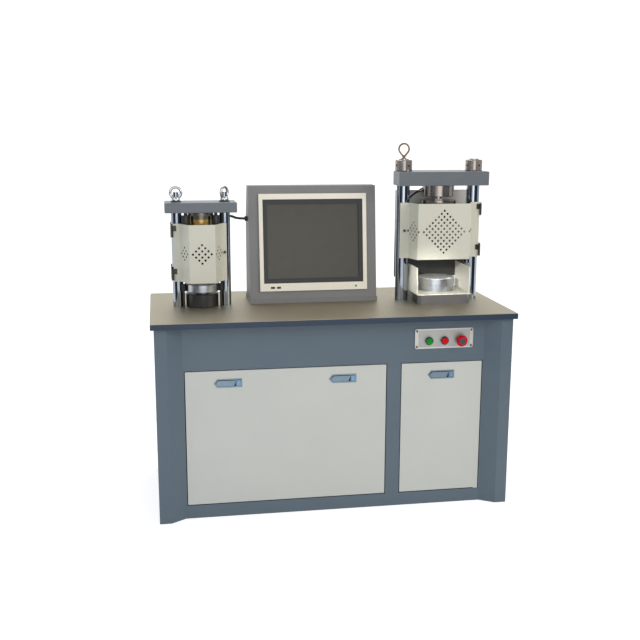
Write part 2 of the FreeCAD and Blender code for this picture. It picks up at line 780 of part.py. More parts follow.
holder_top = flex_head_bottom - flex_cell_height
holder_width = 60.0
holder_height = 70.0
holder_half_depth = roller_length / 2
holder = box(flex_x - holder_width / 2, flex_x + holder_width / 2, frame_y - holder_half_depth,
             frame_y + holder_half_depth, holder_top - 16, holder_top)
blade = box(flex_x - 9, flex_x + 9, frame_y - holder_half_depth, frame_y + holder_half_depth,
            holder_top - holder_height, holder_top - 16)
upper_roller_z = holder_top - holder_height - 1
groove = cyl(roller_r, roller_length + 2, flex_x, frame_y - holder_half_depth - 1, upper_roller_z, Y_AXIS)
add("flex_upper_fixture", joined([holder, blade]).cut(groove))
add("flex_upper_fixture", cyl(roller_r, roller_length, flex_x, frame_y - holder_half_depth,
                             upper_roller_z, Y_AXIS))

flex_ram_top = flex_platen_top - flex_platen_height
flex_disc = cyl(flex_platen_r, flex_platen_height, flex_x, frame_y, flex_ram_top)
flex_disc = flex_disc.makeChamfer(1.0, [e for e in flex_disc.Edges if len(e.Vertexes) == 1])
add("flex_platen", flex_disc)
add("flex_platen", cyl(flex_ram_r, flex_ram_length, flex_x, frame_y, flex_ram_top - flex_ram_length))
cap = cyl(flex_cap_r, flex_cap_height, flex_x, frame_y, table_height)
cap = cap.makeChamfer(2.0, [e for e in cap.Edges if len(e.Vertexes) == 1])
add("flex_cylinder_cap", cap.cut(cyl(flex_ram_r + ram_clearance, flex_cap_height, flex_x, frame_y,
                                     table_height)))
flex_cylinder_bottom = flex_ram_top - flex_ram_length - flex_ram_gap - flex_cylinder_end
flex_cylinder_length = flex_yoke_bottom - flex_cylinder_bottom
flex_barrel = cyl(flex_cylinder_r, flex_cylinder_length, flex_x, frame_y, flex_cylinder_bottom)
flex_barrel = flex_barrel.cut(cyl(flex_ram_r + ram_clearance, flex_cylinder_length, flex_x, frame_y,
                                  flex_cylinder_bottom + flex_cylinder_end))
add("cylinder_blocks", flex_barrel)

posts = []
post_knobs = []
for sign in (-1, 1):
    x = flex_x + sign * post_offset
    y = frame_y - post_forward
    posts.append(cyl(post_r, post_height, x, y, table_height))
    post_knob = cyl(post_knob_r, post_knob_height, x, y, table_height + post_height)
    post_knobs.append(post_knob.makeChamfer(1.0, [e for e in post_knob.Edges if len(e.Vertexes) == 1]))
add("flex_side_posts", *posts)
add("flex_side_posts", *post_knobs)

support = box(flex_x - support_span / 2 - 9, flex_x + support_span / 2 + 9, frame_y - holder_half_depth,
              frame_y + holder_half_depth, flex_platen_top, flex_platen_top + support_height)
support = support.cut(box(flex_x - support_span / 2 + 9, flex_x + support_span / 2 - 9,
                          frame_y - holder_half_depth - 1, frame_y + holder_half_depth + 1,
                          flex_platen_top + 14, flex_platen_top + support_height + 1))
rollers = []
support_roller_z = flex_platen_top + support_height + 1
for sign in (-1, 1):
    roller = cyl(roller_r, roller_length, flex_x + sign * support_span / 2, frame_y - holder_half_depth,
                 support_roller_z, Y_AXIS)
    support = support.cut(roller)
    rollers.append(roller)
round_limit = cyl(flex_platen_r, 60, flex_x, frame_y, flex_platen_top)
add("flex_lower_fixture", support.common(round_limit))
add("flex_lower_fixture", *rollers)

# Sheet guards: an octagonal half shell on two hinges, closed by a knob


def hinge_pin_x(x, spacing, column_r, side):
    return x + side * (spacing / 2 + column_r + wing_gap - hinge_knuckle_r)


def guard_outline(x, half_front, half_fold, left_edge, right_edge, y_flange, y_front):
    outer = [(left_edge - x, y_flange), (-half_fold, y_flange), (-half_front, y_front), (half_front, y_front),
             (half_fold, y_flange), (right_edge - x, y_flange)]
    lean = (half_fold - half_front) / (y_flange - y_front)
    t = guard_sheet
    side = t * math.sqrt(1 + lean * lean)
    inner = [(right_edge - x, y_flange + t), (half_fold - side + lean * t, y_flange + t),
             (half_front - side + lean * t, y_front + t), (-half_front + side - lean * t, y_front + t),
             (-half_fold + side - lean * t, y_flange + t), (left_edge - x, y_flange + t)]
    return [(x + px, py) for px, py in outer + inner]


def hole_grid(shell, count, centre, along, normal):
    drill = guard_sheet * 8
    for i in range(count):
        for j in range(count):
            u = (i - j) * guard_pitch / math.sqrt(2)
            w = (i + j - count + 1) * guard_pitch / math.sqrt(2)
            middle = centre + along * u + Z_AXIS * w
            shell = shell.cut(Part.makeCylinder(guard_hole_r, drill, middle - normal * (drill / 2), normal))
    return shell


def guard(x, halves, pin_x, y_flange, reach, bottom, height, front_count, side_count, knob_side):
    half_front, half_fold, half_edge = halves
    y_front = y_flange - reach
    hinge_edge = pin_x + knob_side * flange_short
    edges = sorted((hinge_edge, x + knob_side * half_edge))
    shell = prism(guard_outline(x, half_front, half_fold, edges[0], edges[1], y_flange, y_front),
                  bottom, height)
    middle_z = bottom + height / 2
    shell = hole_grid(shell, front_count, V(x, y_front, middle_z), X_AXIS, Y_AXIS)
    for sign in (-1, 1):
        slant = V(sign * (half_fold - half_front), reach, 0)
        slant.normalize()
        normal = V(slant.y, -slant.x, 0)
        centre = V(x + sign * (half_fold + half_front) / 2, y_flange - reach / 2, middle_z)
        shell = hole_grid(shell, side_count, centre, slant, normal)
    knob_x = x + knob_side * (half_edge + half_fold) / 2
    return shell.cut(cyl(knob_r, 10, knob_x, y_flange - 5, middle_z, Y_AXIS))


knob_r = 2.0
comp_flange_y = frame_y - comp_column_r - guard_column_gap - guard_sheet
flex_flange_y = frame_y - flex_column_r - guard_column_gap - guard_sheet
comp_pin_x = hinge_pin_x(comp_x, comp_column_spacing, comp_column_r, 1)
flex_pin_x = hinge_pin_x(flex_x, flex_column_spacing, flex_column_r, -1)
comp_halves = (comp_guard_front, comp_guard_fold, comp_guard_edge)
flex_halves = (flex_guard_front, flex_guard_fold, flex_guard_edge)
add("comp_guard", guard(comp_x, comp_halves, comp_pin_x, comp_flange_y, comp_guard_reach, comp_guard_bottom,
                        comp_guard_height, comp_front_holes, comp_side_holes, -1))
add("flex_guard", guard(flex_x, flex_halves, flex_pin_x, flex_flange_y, flex_guard_reach, flex_guard_bottom,
                        flex_guard_height, flex_front_holes, flex_side_holes, 1))


def knob(x, half_fold, half_edge, y_flange, z, side):
    knob_x = x + side * (half_edge + half_fold) / 2
    head = cyl(4.5, 7, knob_x, y_flange - 7, z, Y_AXIS)
    return joined([head, cyl(knob_r, guard_sheet + 1.8, knob_x, y_flange, z, Y_AXIS)])


add("comp_guard_fittings", knob(comp_x, comp_guard_fold, comp_guard_edge, comp_flange_y,
                            comp_guard_bottom + comp_guard_height / 2, -1))
add("flex_guard_fittings", knob(flex_x, flex_guard_fold, flex_guard_edge, flex_flange_y,
                            flex_guard_bottom + flex_guard_height / 2, 1))

# Hinges: the moving leaf is screwed to the guard, the fixed leaf to the rear guard's wing


def hinge_heights(bottom, height):
    return (bottom + hinge_inset, bottom + height - hinge_inset - hinge_height)


def hinge_leaves(px, y_flange, heights, side):
    py = y_flange - hinge_knuckle_r
    moving = []
    fixed = []
    half = hinge_height / 2
    leaf_end = px - side * (flange_short + hinge_leaf)
    wing_x = px + side * hinge_knuckle_r
    for z in heights:
        knuckle = cyl(hinge_knuckle_r, half - 0.3, px, py, z + half + 0.3)
        leaf = box(min(px, leaf_end), max(px, leaf_end), y_flange - 1.5, y_flange,
                   z + half + 0.3, z + hinge_height)
        leaf = joined([knuckle, leaf])
        moving.append(leaf.cut(cyl(hinge_pin + pin_clearance, half + 2, px, py, z + half - 1)))
        lower = cyl(hinge_knuckle_r, half, px, py, z)
        pin = cyl(hinge_pin, hinge_height - 0.4, px, py, z)
        plate = box(min(wing_x, wing_x - side * 1.5), max(wing_x, wing_x - side * 1.5), py, y_flange + 14,
                    z, z + half)
        fixed.append(joined([lower, pin, plate]))
    return moving, fixed


comp_hinge_z = hinge_heights(comp_guard_bottom, comp_guard_height)
flex_hinge_z = hinge_heights(flex_guard_bottom, flex_guard_height)
moving, fixed = hinge_leaves(comp_pin_x, comp_flange_y, comp_hinge_z, 1)
add("comp_guard_fittings", *moving)
add("guard_hinge_fixed_leaves", *fixed)
moving, fixed = hinge_leaves(flex_pin_x, flex_flange_y, flex_hinge_z, -1)
add("flex_guard_fittings", *moving)
add("guard_hinge_fixed_leaves", *fixed)


def rear_guard(pin_x, side, column_xs, r, y_flange, bottom, top, hinge_zs, arm_zs):
    back_y = frame_y + rear_reach
    wing_x = pin_x + side * hinge_knuckle_r
    outside_x = wing_x + side * rear_sheet
    far_x = (column_xs[0] if side == 1 else column_xs[1]) - side * panel_overhang
    panel = [box(min(far_x, pin_x), max(far_x, pin_x), back_y, back_y + rear_sheet, bottom, top)]
    for z in hinge_zs:
        low = z - tab_margin
        high = z + hinge_height + tab_margin
        panel.append(box(min(pin_x, outside_x), max(pin_x, outside_x), back_y, back_y + rear_sheet,
                         low, high))
        panel.append(box(min(wing_x, outside_x), max(wing_x, outside_x), y_flange + 2, back_y + rear_sheet,
                         low, high))
    solids = [joined(panel)]
    for x in column_xs:
        for z in arm_zs:
            arm = box(x - arm_half, x + arm_half, frame_y, back_y, z, z + arm_height)
            solids.append(arm.cut(cyl(r, arm_height, x, frame_y, z)))
    return solids


comp_rear_top = comp_head_bottom - 24
flex_rear_top = flex_head_bottom - 20
comp_guard_top = comp_guard_bottom + comp_guard_height
flex_guard_top = flex_guard_bottom + flex_guard_height
add("rear_guards", *rear_guard(comp_pin_x, 1, comp_column_xs, comp_column_r, comp_flange_y,
                               lower_platen_top - comp_rear_under, comp_rear_top, comp_hinge_z,
                               (comp_guard_bottom + 10, comp_guard_top - 110)))
add("rear_guards", *rear_guard(flex_pin_x, -1, flex_column_xs, flex_column_r, flex_flange_y,
                               flex_guard_bottom, flex_rear_top, flex_hinge_z,
                               (flex_guard_bottom + 10, flex_guard_top - 30)))

# Console: a housing that leans back, with the monitor in its front
lean = console_lean / console_rise
back_slope_z = table_height + console_back_height
console_back = console_front + console_base_depth


def front_at(z):
    return console_front + (z - lip_z) * lean


def leaning_box(x0, x1, low, high, front_offset, depth):
    rise = high - low
    cos = 1 / math.sqrt(1 + lean * lean)
    angle = math.degrees(math.atan(lean))
    piece = box(x0, x1, front_offset, front_offset + depth, 0, rise)
    piece.rotate(V(0, 0, 0), X_AXIS, -angle)
    piece.translate(V(0, console_front + low * cos * lean, lip_z + low * cos))
    return piece


profile = [(console_front, lip_z), (front_at(console_top), console_top),
           (front_at(console_top) + console_top_depth, console_top), (console_back, back_slope_z),
           (console_back, table_height), (console_front, table_height)]
shell = side_prism(profile, console_left, console_width)
wall = sheet
inner_profile = [(console_front + wall, lip_z), (front_at(console_top) + wall, console_top - wall),
                 (front_at(console_top) + console_top_depth - wall, console_top - wall),
                 (console_back + 1, back_slope_z - wall * 2), (console_back + 1, table_height + 3),
                 (console_front + wall, table_height + 3)]
hollow = side_prism(inner_profile, console_left + wall, console_width - 2 * wall)
lip = box(console_left - console_lip_out, console_right + console_lip_out, console_front - console_lip_out,
          console_back, table_height, lip_z)
housing = joined([shell, lip]).cut(hollow)
bezel_half = bezel_width / 2
bezel_rebate = 8.0
bezel_fit = 0.3
opening = leaning_box(console_x - bezel_half + bezel_rebate, console_x + bezel_half - bezel_rebate,
                      bezel_low + bezel_rebate, bezel_low + bezel_height - bezel_rebate, -5, wall + 12)
housing = housing.cut(opening)
gland_y = 108.0
gland_z = table_height + 302.0
gland_r = 9.0
cable_r = 4.5
housing = housing.cut(cyl(cable_r + 3, wall + 2, console_left - 1, gland_y, gland_z, X_AXIS))
add("console_housing", housing)
cover = box(console_left + wall, console_right - wall, console_back - wall, console_back,
            table_height + 3, back_slope_z - wall * 2 - 1)
louvre_count = 6
louvre_pitch = 14.0
louvre_up = 100.0
louvre_length = 180.0
louvre_slot = 5.0
for i in range(louvre_count):
    z = table_height + louvre_up + i * louvre_pitch
    cover = cover.cut(box(console_x - louvre_length / 2, console_x + louvre_length / 2,
                          console_back - wall - 1, console_back + 1, z, z + louvre_slot))
add("rear_covers", cover)

monitor_front = -7.0
bezel = leaning_box(console_x - bezel_half, console_x + bezel_half, bezel_low, bezel_low + bezel_height,
                    monitor_front, -monitor_front)
tongue = bezel_rebate + bezel_fit
bezel = bezel.fuse(leaning_box(console_x - bezel_half + tongue, console_x + bezel_half - tongue,
                               bezel_low + tongue, bezel_low + bezel_height - tongue, 0, wall + 6))
window_low = bezel_low + window_up
bezel = bezel.cut(leaning_box(console_x - window_width / 2, console_x + window_width / 2, window_low,
                              window_low + window_height, monitor_front - 1, 40))
frame_thick = 9.0
black_frame = leaning_box(console_x - window_width / 2, console_x + window_width / 2, window_low,
                          window_low + window_height, monitor_front + 2, frame_thick)
screen_low = window_low + frame_rim
black_frame = black_frame.cut(leaning_box(console_x - screen_width / 2, console_x + screen_width / 2,
                                          screen_low, screen_low + screen_height, monitor_front - 1, 30))
add("monitor_inner_frame", black_frame)
glass = leaning_box(console_x - screen_width / 2, console_x + screen_width / 2, screen_low,
                    screen_low + screen_height, monitor_front + 7, 3)
add("monitor_glass", glass)
add("monitor_inner_frame", leaning_box(console_x - window_width / 2, console_x + window_width / 2, window_low,
                              window_low + window_height, monitor_front + 2 + frame_thick, 22))

monitor_button_xs = (console_x - bezel_half + 46, console_x - bezel_half + 68)
led_x = console_x + bezel_half - 42
monitor_buttons = []
button_low = bezel_low + 9.0
for x in monitor_button_xs:
    key = leaning_box(x - 7, x + 7, button_low, button_low + 7, monitor_front - 1.2, 9)
    slot = leaning_box(x - 7.3, x + 7.3, button_low - 0.3, button_low + 7.3, monitor_front - 2, 14)
    bezel = bezel.cut(slot)
    monitor_buttons.append(key)
led = leaning_box(led_x - 3, led_x + 3, button_low + 1, button_low + 7, monitor_front - 0.6, 6)
bezel = bezel.cut(led)
add("monitor_bezel", bezel)
add("monitor_button_left", monitor_buttons[0])
add("monitor_button_right", monitor_buttons[1])
add("monitor_glass", led)

# Cables: the flexural load cell's to the console, the compression load cell's down to the cabinet
gland_length = 10.0
gland = cyl(gland_r, gland_length, console_left - gland_length, gland_y, gland_z, X_AXIS)
gland = gland.fuse(cyl(cable_r + 3, gland_length, console_left - 1, gland_y, gland_z, X_AXIS))
gland = gland.cut(cyl(cable_r + 0.1, gland_length * 3, console_left - gland_length - 1, gland_y, gland_z,
                      X_AXIS))
add("cable_glands", gland)


def cord(points, r):
    runs = [points[i + 1] - points[i] for i in range(len(points) - 1)]
    edges = []
    start = points[0]
    for i in range(1, len(points) - 1):
        before = runs[i - 1]
        after = runs[i]
        turn = before.getAngle(after)
        shorter = min(before.Length, after.Length)
        cut_back = 0.45 * shorter
        radius = cut_back / math.tan(turn / 2)
        print("cable bend radius", round(radius, 1))
        enter = points[i] - V(before).normalize() * cut_back
        leave = points[i] + V(after).normalize() * cut_back
        inward = (V(after).normalize() - V(before).normalize()).normalize()
        to_centre = radius / math.cos(turn / 2)
        middle = points[i] + inward * (to_centre - radius)
        edges.append(Part.LineSegment(start, enter).toShape())
        edges.append(Part.Arc(enter, middle, leave).toShape())
        start = leave
    edges.append(Part.LineSegment(start, points[-1]).toShape())
    path = Part.Wire(edges)
    section = Part.Wire([Part.makeCircle(r, points[0], runs[0])])
    tube = path.makePipeShell([section], True, False)
    print("cable length", round(path.Length, 1), "volume ratio",
          round(tube.Volume / (math.pi * r * r * path.Length), 4))
    return tube


socket_length = 12.0
seat_cable_r = 3.5
electric_top = plate_bottom_z - 80.0


def socket(cell, start, toward, r):
    direction = V(toward - start).normalize()
    length = socket_length + 12
    boss = Part.makeCylinder(r + 2.5, length, start - direction * length, direction)
    return joined([cell, boss])


flex_cable_route = [V(flex_x + 34, frame_y + flex_cell_r - 2, flex_head_bottom - 33),
                    V(flex_x + 56, frame_y + 49, flex_head_bottom - 27),
                    V(flex_x + 86, frame_y + 62, flex_head_bottom - 20),
                    V(flex_x + 116, frame_y + 76, flex_head_bottom - 24),
                    V(console_left - 38, gland_y, gland_z), V(console_left + 6, gland_y, gland_z)]
cell_exit = V(comp_x - cell_r - 8, frame_y + 8, comp_head_bottom - 21)
comp_cable_route = [cell_exit, V(cell_exit.x - 22, frame_y + 22, comp_head_bottom - 33),
                    V(cell_exit.x - 42, frame_y + 46, comp_head_bottom - 67),
                    V(cable_hole_x, frame_y + 61, comp_head_bottom - 135),
                    V(cable_hole_x - 1, frame_y + 66, comp_head_bottom - 210),
                    V(cable_hole_x, frame_y + 66, table_height + 120),
                    V(cable_hole_x, frame_y + 67, table_height + 65),
                    V(cable_hole_x, cable_hole_y, table_height + 28),
                    V(cable_hole_x, cable_hole_y, plate_bottom_z - 30),
                    V(cable_hole_x - 25, cable_hole_y, electric_top + 18),
                    V(cable_hole_x - 25, cable_hole_y, electric_top)]
add("signal_cables", cord(flex_cable_route, cable_r))
add("signal_cables", cord(comp_cable_route, seat_cable_r))
parts["flex_load_cell"] = socket(parts["flex_load_cell"].Solids[0], flex_cable_route[0],
                                 flex_cable_route[1], cable_r)
parts["comp_load_cell"] = socket(parts["comp_load_cell"].Solids[0], comp_cable_route[0],
                                 comp_cable_route[1], seat_cable_r)
grommet = cyl(cable_hole_r, skin_thick + top_plate_thick, cable_hole_x, cable_hole_y, plate_bottom_z)
grommet = grommet.fuse(cyl(cable_hole_r + 4, 2.5, cable_hole_x, cable_hole_y, table_height))
grommet = grommet.cut(cyl(seat_cable_r + 0.1, 60, cable_hole_x, cable_hole_y, plate_bottom_z - 20))
add("cable_glands", grommet)

# Hydraulics and electrics inside the cabinet
tank_left = -480.0
tank_right = -120.0
tank_front = -70.0
tank_back = 230.0
tank_height = 240.0
tank_wall = 3.0
lid_thick = 6.0
motor_x = -340.0
motor_y = 90.0
motor_r = 68.0
motor_height = 190.0
fin_count = 20
fin_depth = 7.0
pump_r = 45.0
pump_length = 120.0
valve_x = -220.0
valve_y = 90.0
valve_half = 38.0
valve_height = 80.0
pipe_r = 5.0
electric_width = 105.0
electric_depth = 190.0
electric_height = 330.0

tank_top = base_z + tank_height
tank = box(tank_left, tank_right, tank_front, tank_back, base_z, tank_top)
tank = tank.cut(box(tank_left + tank_wall, tank_right - tank_wall, tank_front + tank_wall,
                    tank_back - tank_wall, base_z + tank_wall, tank_top + 1))
add("oil_tank", tank)
lid_top = tank_top + lid_thick
lid = box(tank_left - 8, tank_right + 8, tank_front - 8, tank_back + 8, tank_top, lid_top)
shaft_hole = cyl(20, lid_thick + 2, motor_x, motor_y, tank_top - 1)
add("oil_tank", lid.cut(shaft_hole))
pump = cyl(pump_r, pump_length, motor_x, motor_y, tank_top - pump_length)
coupling = cyl(19, lid_thick, motor_x, motor_y, tank_top)
add("hydraulic_power_unit", joined([pump, coupling]))
motor_body = cyl(motor_r - fin_depth, motor_height, motor_x, motor_y, lid_top)
motor_solids = [motor_body, cyl(motor_r, 14, motor_x, motor_y, lid_top),
                cyl(motor_r - 2, 30, motor_x, motor_y, lid_top + motor_height - 30),
                box(motor_x - 30, motor_x + 30, motor_y - motor_r - 22, motor_y - motor_r + 14,
                    lid_top + 60, lid_top + 120)]
for i in range(fin_count):
    fin = box(motor_x + motor_r - fin_depth - 3, motor_x + motor_r, motor_y - 1.5, motor_y + 1.5,
              lid_top + 14, lid_top + motor_height - 30)
    fin.rotate(V(motor_x, motor_y, 0), Z_AXIS, i * 360 / fin_count)
    motor_solids.append(fin)
add("hydraulic_power_unit", joined(motor_solids))
valve_top = lid_top + valve_height
valve = box(valve_x - valve_half, valve_x + valve_half, valve_y - valve_half, valve_y + valve_half,
            lid_top, valve_top)
coil = cyl(16, 46, valve_x, valve_y - valve_half - 46, lid_top + valve_height / 2, Y_AXIS)
add("hydraulic_power_unit", joined([valve, coil]))

flex_port_z = flex_cylinder_bottom + 30
comp_port_z = cylinder_bottom + 40
comp_pipe = [V(valve_x + valve_half, valve_y, lid_top + 40), V(valve_x + 120, valve_y, lid_top + 40),
             V(valve_x + 190, valve_y - 20, lid_top + 70), V(divider_x - 60, frame_y, comp_port_z),
             V(comp_x - comp_cylinder_r, frame_y, comp_port_z)]
flex_pipe = [V(valve_x, valve_y, valve_top), V(valve_x, valve_y, valve_top + 60),
             V(valve_x - 30, valve_y - 20, flex_port_z - 40),
             V(flex_x + flex_cylinder_r + 70, frame_y, flex_port_z),
             V(flex_x + flex_cylinder_r, frame_y, flex_port_z)]
add("hydraulic_power_unit", cord(comp_pipe, pipe_r), cord(flex_pipe, pipe_r))
divider_hole = cyl(pipe_r + 4, 20, divider_x - 10, frame_y, comp_port_z, X_AXIS)
add("cabinet_inner_frame", divider.cut(divider_hole))

electric_left = divider_x + 1
electric = box(electric_left, electric_left + electric_width, cable_hole_y - electric_depth / 3,
               cable_hole_y + 2 * electric_depth / 3, electric_top - electric_height, electric_top)
electric_inner = box(electric_left + 2, electric_left + electric_width - 2,
                     cable_hole_y - electric_depth / 3 + 2, cable_hole_y + 2 * electric_depth / 3 - 2,
                     electric_top - electric_height + 2, electric_top - 2)
add("electrical_box", electric.cut(electric_inner))

os.makedirs("parts", exist_ok=True)
for node, shape in parts.items():
    for solid in shape.Solids:
        if not solid.isValid():
            print("not valid:", node)
    whole = shape.Solids[0] if len(shape.Solids) == 1 else shape
    whole.exportStep("parts/" + node + ".step")
print(len(parts), "nodes,", sum(len(shape.Solids) for shape in parts.values()), "solids")
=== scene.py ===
# %% [markdown]
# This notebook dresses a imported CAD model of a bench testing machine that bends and
# crushes mortar specimens. The CAD solids are already the right size and in the right
# place, so each step only adds what CAD leaves out: softened edges, smooth cables,
# lettering-free buttons, and finishes that look like the real paint, steel and plastic.
# Everything is in metres, +X to the machine's right, +Y to its back and +Z up.

# %% Load the frame and note its box
import json
import math
import bmesh
import bpy
from mathutils import Matrix, Vector


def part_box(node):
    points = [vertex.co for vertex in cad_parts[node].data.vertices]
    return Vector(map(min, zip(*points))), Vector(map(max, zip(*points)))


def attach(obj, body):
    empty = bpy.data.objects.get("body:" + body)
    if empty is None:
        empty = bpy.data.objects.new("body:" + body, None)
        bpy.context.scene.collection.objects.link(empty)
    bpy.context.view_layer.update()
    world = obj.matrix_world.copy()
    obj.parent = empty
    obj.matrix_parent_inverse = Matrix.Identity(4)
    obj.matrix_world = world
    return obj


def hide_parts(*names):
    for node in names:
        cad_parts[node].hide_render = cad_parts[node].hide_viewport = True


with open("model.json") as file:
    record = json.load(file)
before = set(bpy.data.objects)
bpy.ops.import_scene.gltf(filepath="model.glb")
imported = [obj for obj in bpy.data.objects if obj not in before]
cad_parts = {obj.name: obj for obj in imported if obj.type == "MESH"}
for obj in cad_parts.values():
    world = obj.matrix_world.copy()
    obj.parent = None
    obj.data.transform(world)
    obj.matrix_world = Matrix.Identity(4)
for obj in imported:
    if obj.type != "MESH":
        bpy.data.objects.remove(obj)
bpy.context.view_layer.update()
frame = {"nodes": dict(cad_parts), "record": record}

cad_nodes = frame["nodes"]

# %% [markdown]
# The camera stands where the photographer stood: a little left of the machine, at chest
# height, looking slightly right and down. The numbers come from lining up the corners of
# the worktop and the cabinet.

# %% Camera
camera_place = Vector((-0.5904, -3.3478, 1.3398))
yaw = math.radians(9.708)
pitch = math.radians(11.70)
roll = math.radians(0.173)
forward = Vector((math.sin(yaw) * math.cos(pitch), math.cos(yaw) * math.cos(pitch), -math.sin(pitch)))
level = Vector((math.cos(yaw), -math.sin(yaw), 0))
upward = level.cross(forward)
right = level * math.cos(roll) + upward * math.sin(roll)
top = upward * math.cos(roll) - level * math.sin(roll)

lens = bpy.data.cameras.new("camera")
lens.lens = 53.12
lens.sensor_width = 36
camera = bpy.data.objects.new("camera", lens)
looking = Matrix((right, top, -forward)).transposed()
camera.matrix_world = Matrix.Translation(camera_place) @ looking.to_4x4()
bpy.context.scene.collection.objects.link(camera)
bpy.context.scene.camera = camera
print("camera looks along", [round(v, 3) for v in forward])

# %% [markdown]
# Two small helpers carry all the finishes. Colours are written as the sRGB hex that a
# designer would pick from a swatch, and one function turns them into the linear light
# that the renderer works in. The other adds one shader node, sets its settings and links
# whatever is passed as a socket.

# %% Colour and node helpers
scene = bpy.context.scene
scene.view_settings.view_transform = "Standard"
mm = 0.001


def linear(code, alpha=1.0):
    values = [int(code[i:i + 2], 16) / 255 for i in (1, 3, 5)]
    return [v / 12.92 if v <= 0.04045 else ((v + 0.055) / 1.055) ** 2.4 for v in values] + [alpha]


def add_node(tree, kind, inputs=None, **settings):
    made = tree.nodes.new(kind)
    for name, value in settings.items():
        setattr(made, name, value)
    for socket, value in (inputs or {}).items():
        if isinstance(value, bpy.types.NodeSocket):
            tree.links.new(value, made.inputs[socket])
        else:
            made.inputs[socket].default_value = value
    return made


# %% [markdown]
# A finish starts from the Principled shader, with the constants set on the shader's own
# sockets. Object coordinates are the row's own metres here, because each mesh carries its
# place, so a pattern's scale can be worked out from a real size in millimetres.

# %% Start of a finish
def start_finish(name, metallic, roughness, **shader_inputs):
    material = bpy.data.materials.new(name)
    material.use_nodes = True
    tree = material.node_tree
    shader = tree.nodes["Principled BSDF"]
    shader.inputs["Metallic"].default_value = metallic
    shader.inputs["Roughness"].default_value = roughness
    for socket, value in shader_inputs.items():
        shader.inputs[socket.replace("_", " ")].default_value = value
    place = add_node(tree, "ShaderNodeTexCoord").outputs["Object"]
    return material, tree, shader, place


def mottle(tree, place, size_mm, colours, spread=0.35):
    """Two close tones of one colour that drift over size_mm."""
    clouds = add_node(tree, "ShaderNodeTexNoise",
                      {"Vector": place, "Scale": 1 / (size_mm * mm), "Detail": 4.0, "Roughness": 0.6})
    ramp = add_node(tree, "ShaderNodeValToRGB", {"Fac": clouds.outputs["Fac"]})
    ramp.color_ramp.elements[0].position = 0.5 - spread
    ramp.color_ramp.elements[1].position = 0.5 + spread
    for element, code in zip(ramp.color_ramp.elements, colours):
        element.color = linear(code)
    return ramp.outputs["Color"]


def by_height(tree, place, z_mm, blur_mm, below, above):
    """Colour below up to z_mm, then colour above, over blur_mm."""
    height = add_node(tree, "ShaderNodeSeparateXYZ", {"Vector": place}).outputs["Z"]
    share = add_node(tree, "ShaderNodeMapRange",
                     {"Value": height, "From Min": (z_mm - blur_mm / 2) * mm,
                      "From Max": (z_mm + blur_mm / 2) * mm}, interpolation_type="SMOOTHSTEP")
    mixed = add_node(tree, "ShaderNodeMix", {"Factor": share.outputs["Result"], 6: below, 7: above},
                     data_type="RGBA")
    return mixed.outputs[2]


def relief(tree, height, depth_mm, strength=1.0):
    bump = add_node(tree, "ShaderNodeBump",
                    {"Height": height, "Distance": depth_mm * mm, "Strength": strength})
    return bump.outputs["Normal"]


# %% [markdown]
# Most of the machine is sheet steel with baked powder coat. Up close it has a faint
# orange peel about two millimetres across, a satin sheen, and a tone that drifts a little
# from panel to panel. One function gives all of that, so that every painted panel is the
# same paint in another colour.

# %% Powder coat
def powder_coat(name, colours, roughness=0.42, peel_mm=2.0, drift_mm=220):
    material, tree, shader, place = start_finish(name, 0.0, roughness, IOR=1.5)
    tree.links.new(mottle(tree, place, drift_mm, colours), shader.inputs["Base Color"])
    peel = add_node(tree, "ShaderNodeTexNoise",
                    {"Vector": place, "Scale": 1 / (peel_mm * mm), "Detail": 2.0, "Roughness": 0.5})
    tree.links.new(relief(tree, peel.outputs["Fac"], 0.06), shader.inputs["Normal"])
    return material


finishes = {
    "cabinet_paint": powder_coat("slate powder coat", ("#4d5d69", "#56646f")),
    "worktop_edge_paint": powder_coat("worktop edge powder coat", ("#14293f", "#1a3046")),
    "door_paint": powder_coat("door powder coat", ("#b9bcb7", "#c0c2bc")),
    "crosshead_paint": powder_coat("crosshead enamel", ("#5a6067", "#646a70"), roughness=0.35),
    "tray_paint": powder_coat("cream powder coat", ("#ece9d8", "#f5f2e4")),
    "guard_paint": powder_coat("guard powder coat", ("#c2c1b3", "#cbcabc")),
    "console_paint": powder_coat("console powder coat", ("#737373", "#7b7b7b"), roughness=0.5),
    "tank_paint": powder_coat("tank enamel", ("#6f7c84", "#7a878f"), roughness=0.35),
    "motor_paint": powder_coat("motor enamel", ("#4c5a68", "#566474"), roughness=0.35),
    "block_iron": powder_coat("painted casting", ("#59616a", "#656d76"), roughness=0.5, peel_mm=6.0),
}
print(len(finishes), "painted finishes")

# %% [markdown]
# The sheet behind the crushing space is light at its top and dark in its lower half, beside
# the platens: the dark lower half is painted shade and the light top is painted light. Its
# paint therefore mixes two mottled tones by height, with a soft border.

# %% Sheet behind the platens with painted shade
def shade_graded_paint(name, painted_shade_tones, painted_light_tones, z_mm, blur_mm):
    material, tree, shader, place = start_finish(name, 0.0, 0.5, IOR=1.5)
    # Painted shade: the dark lower tones stand in for the shade beside the platens, and the light upper
    # tones stand in for light on the top.
    below = mottle(tree, place, 60, painted_shade_tones)
    above = mottle(tree, place, 220, painted_light_tones)
    tree.links.new(by_height(tree, place, z_mm, blur_mm, below, above), shader.inputs["Base Color"])
    peel = add_node(tree, "ShaderNodeTexNoise",
                    {"Vector": place, "Scale": 1 / (2 * mm), "Detail": 2.0, "Roughness": 0.5})
    tree.links.new(relief(tree, peel.outputs["Fac"], 0.06), shader.inputs["Normal"])
    return material


# Painted shade below 930 mm and painted light above it, on the sheet behind the platens.
finishes["rear_guard_paint"] = shade_graded_paint("grey powder coat with painted shade", ("#20201f", "#2c2c2b"),
                                             ("#d8d8d4", "#e2e2de"), 930, 120)

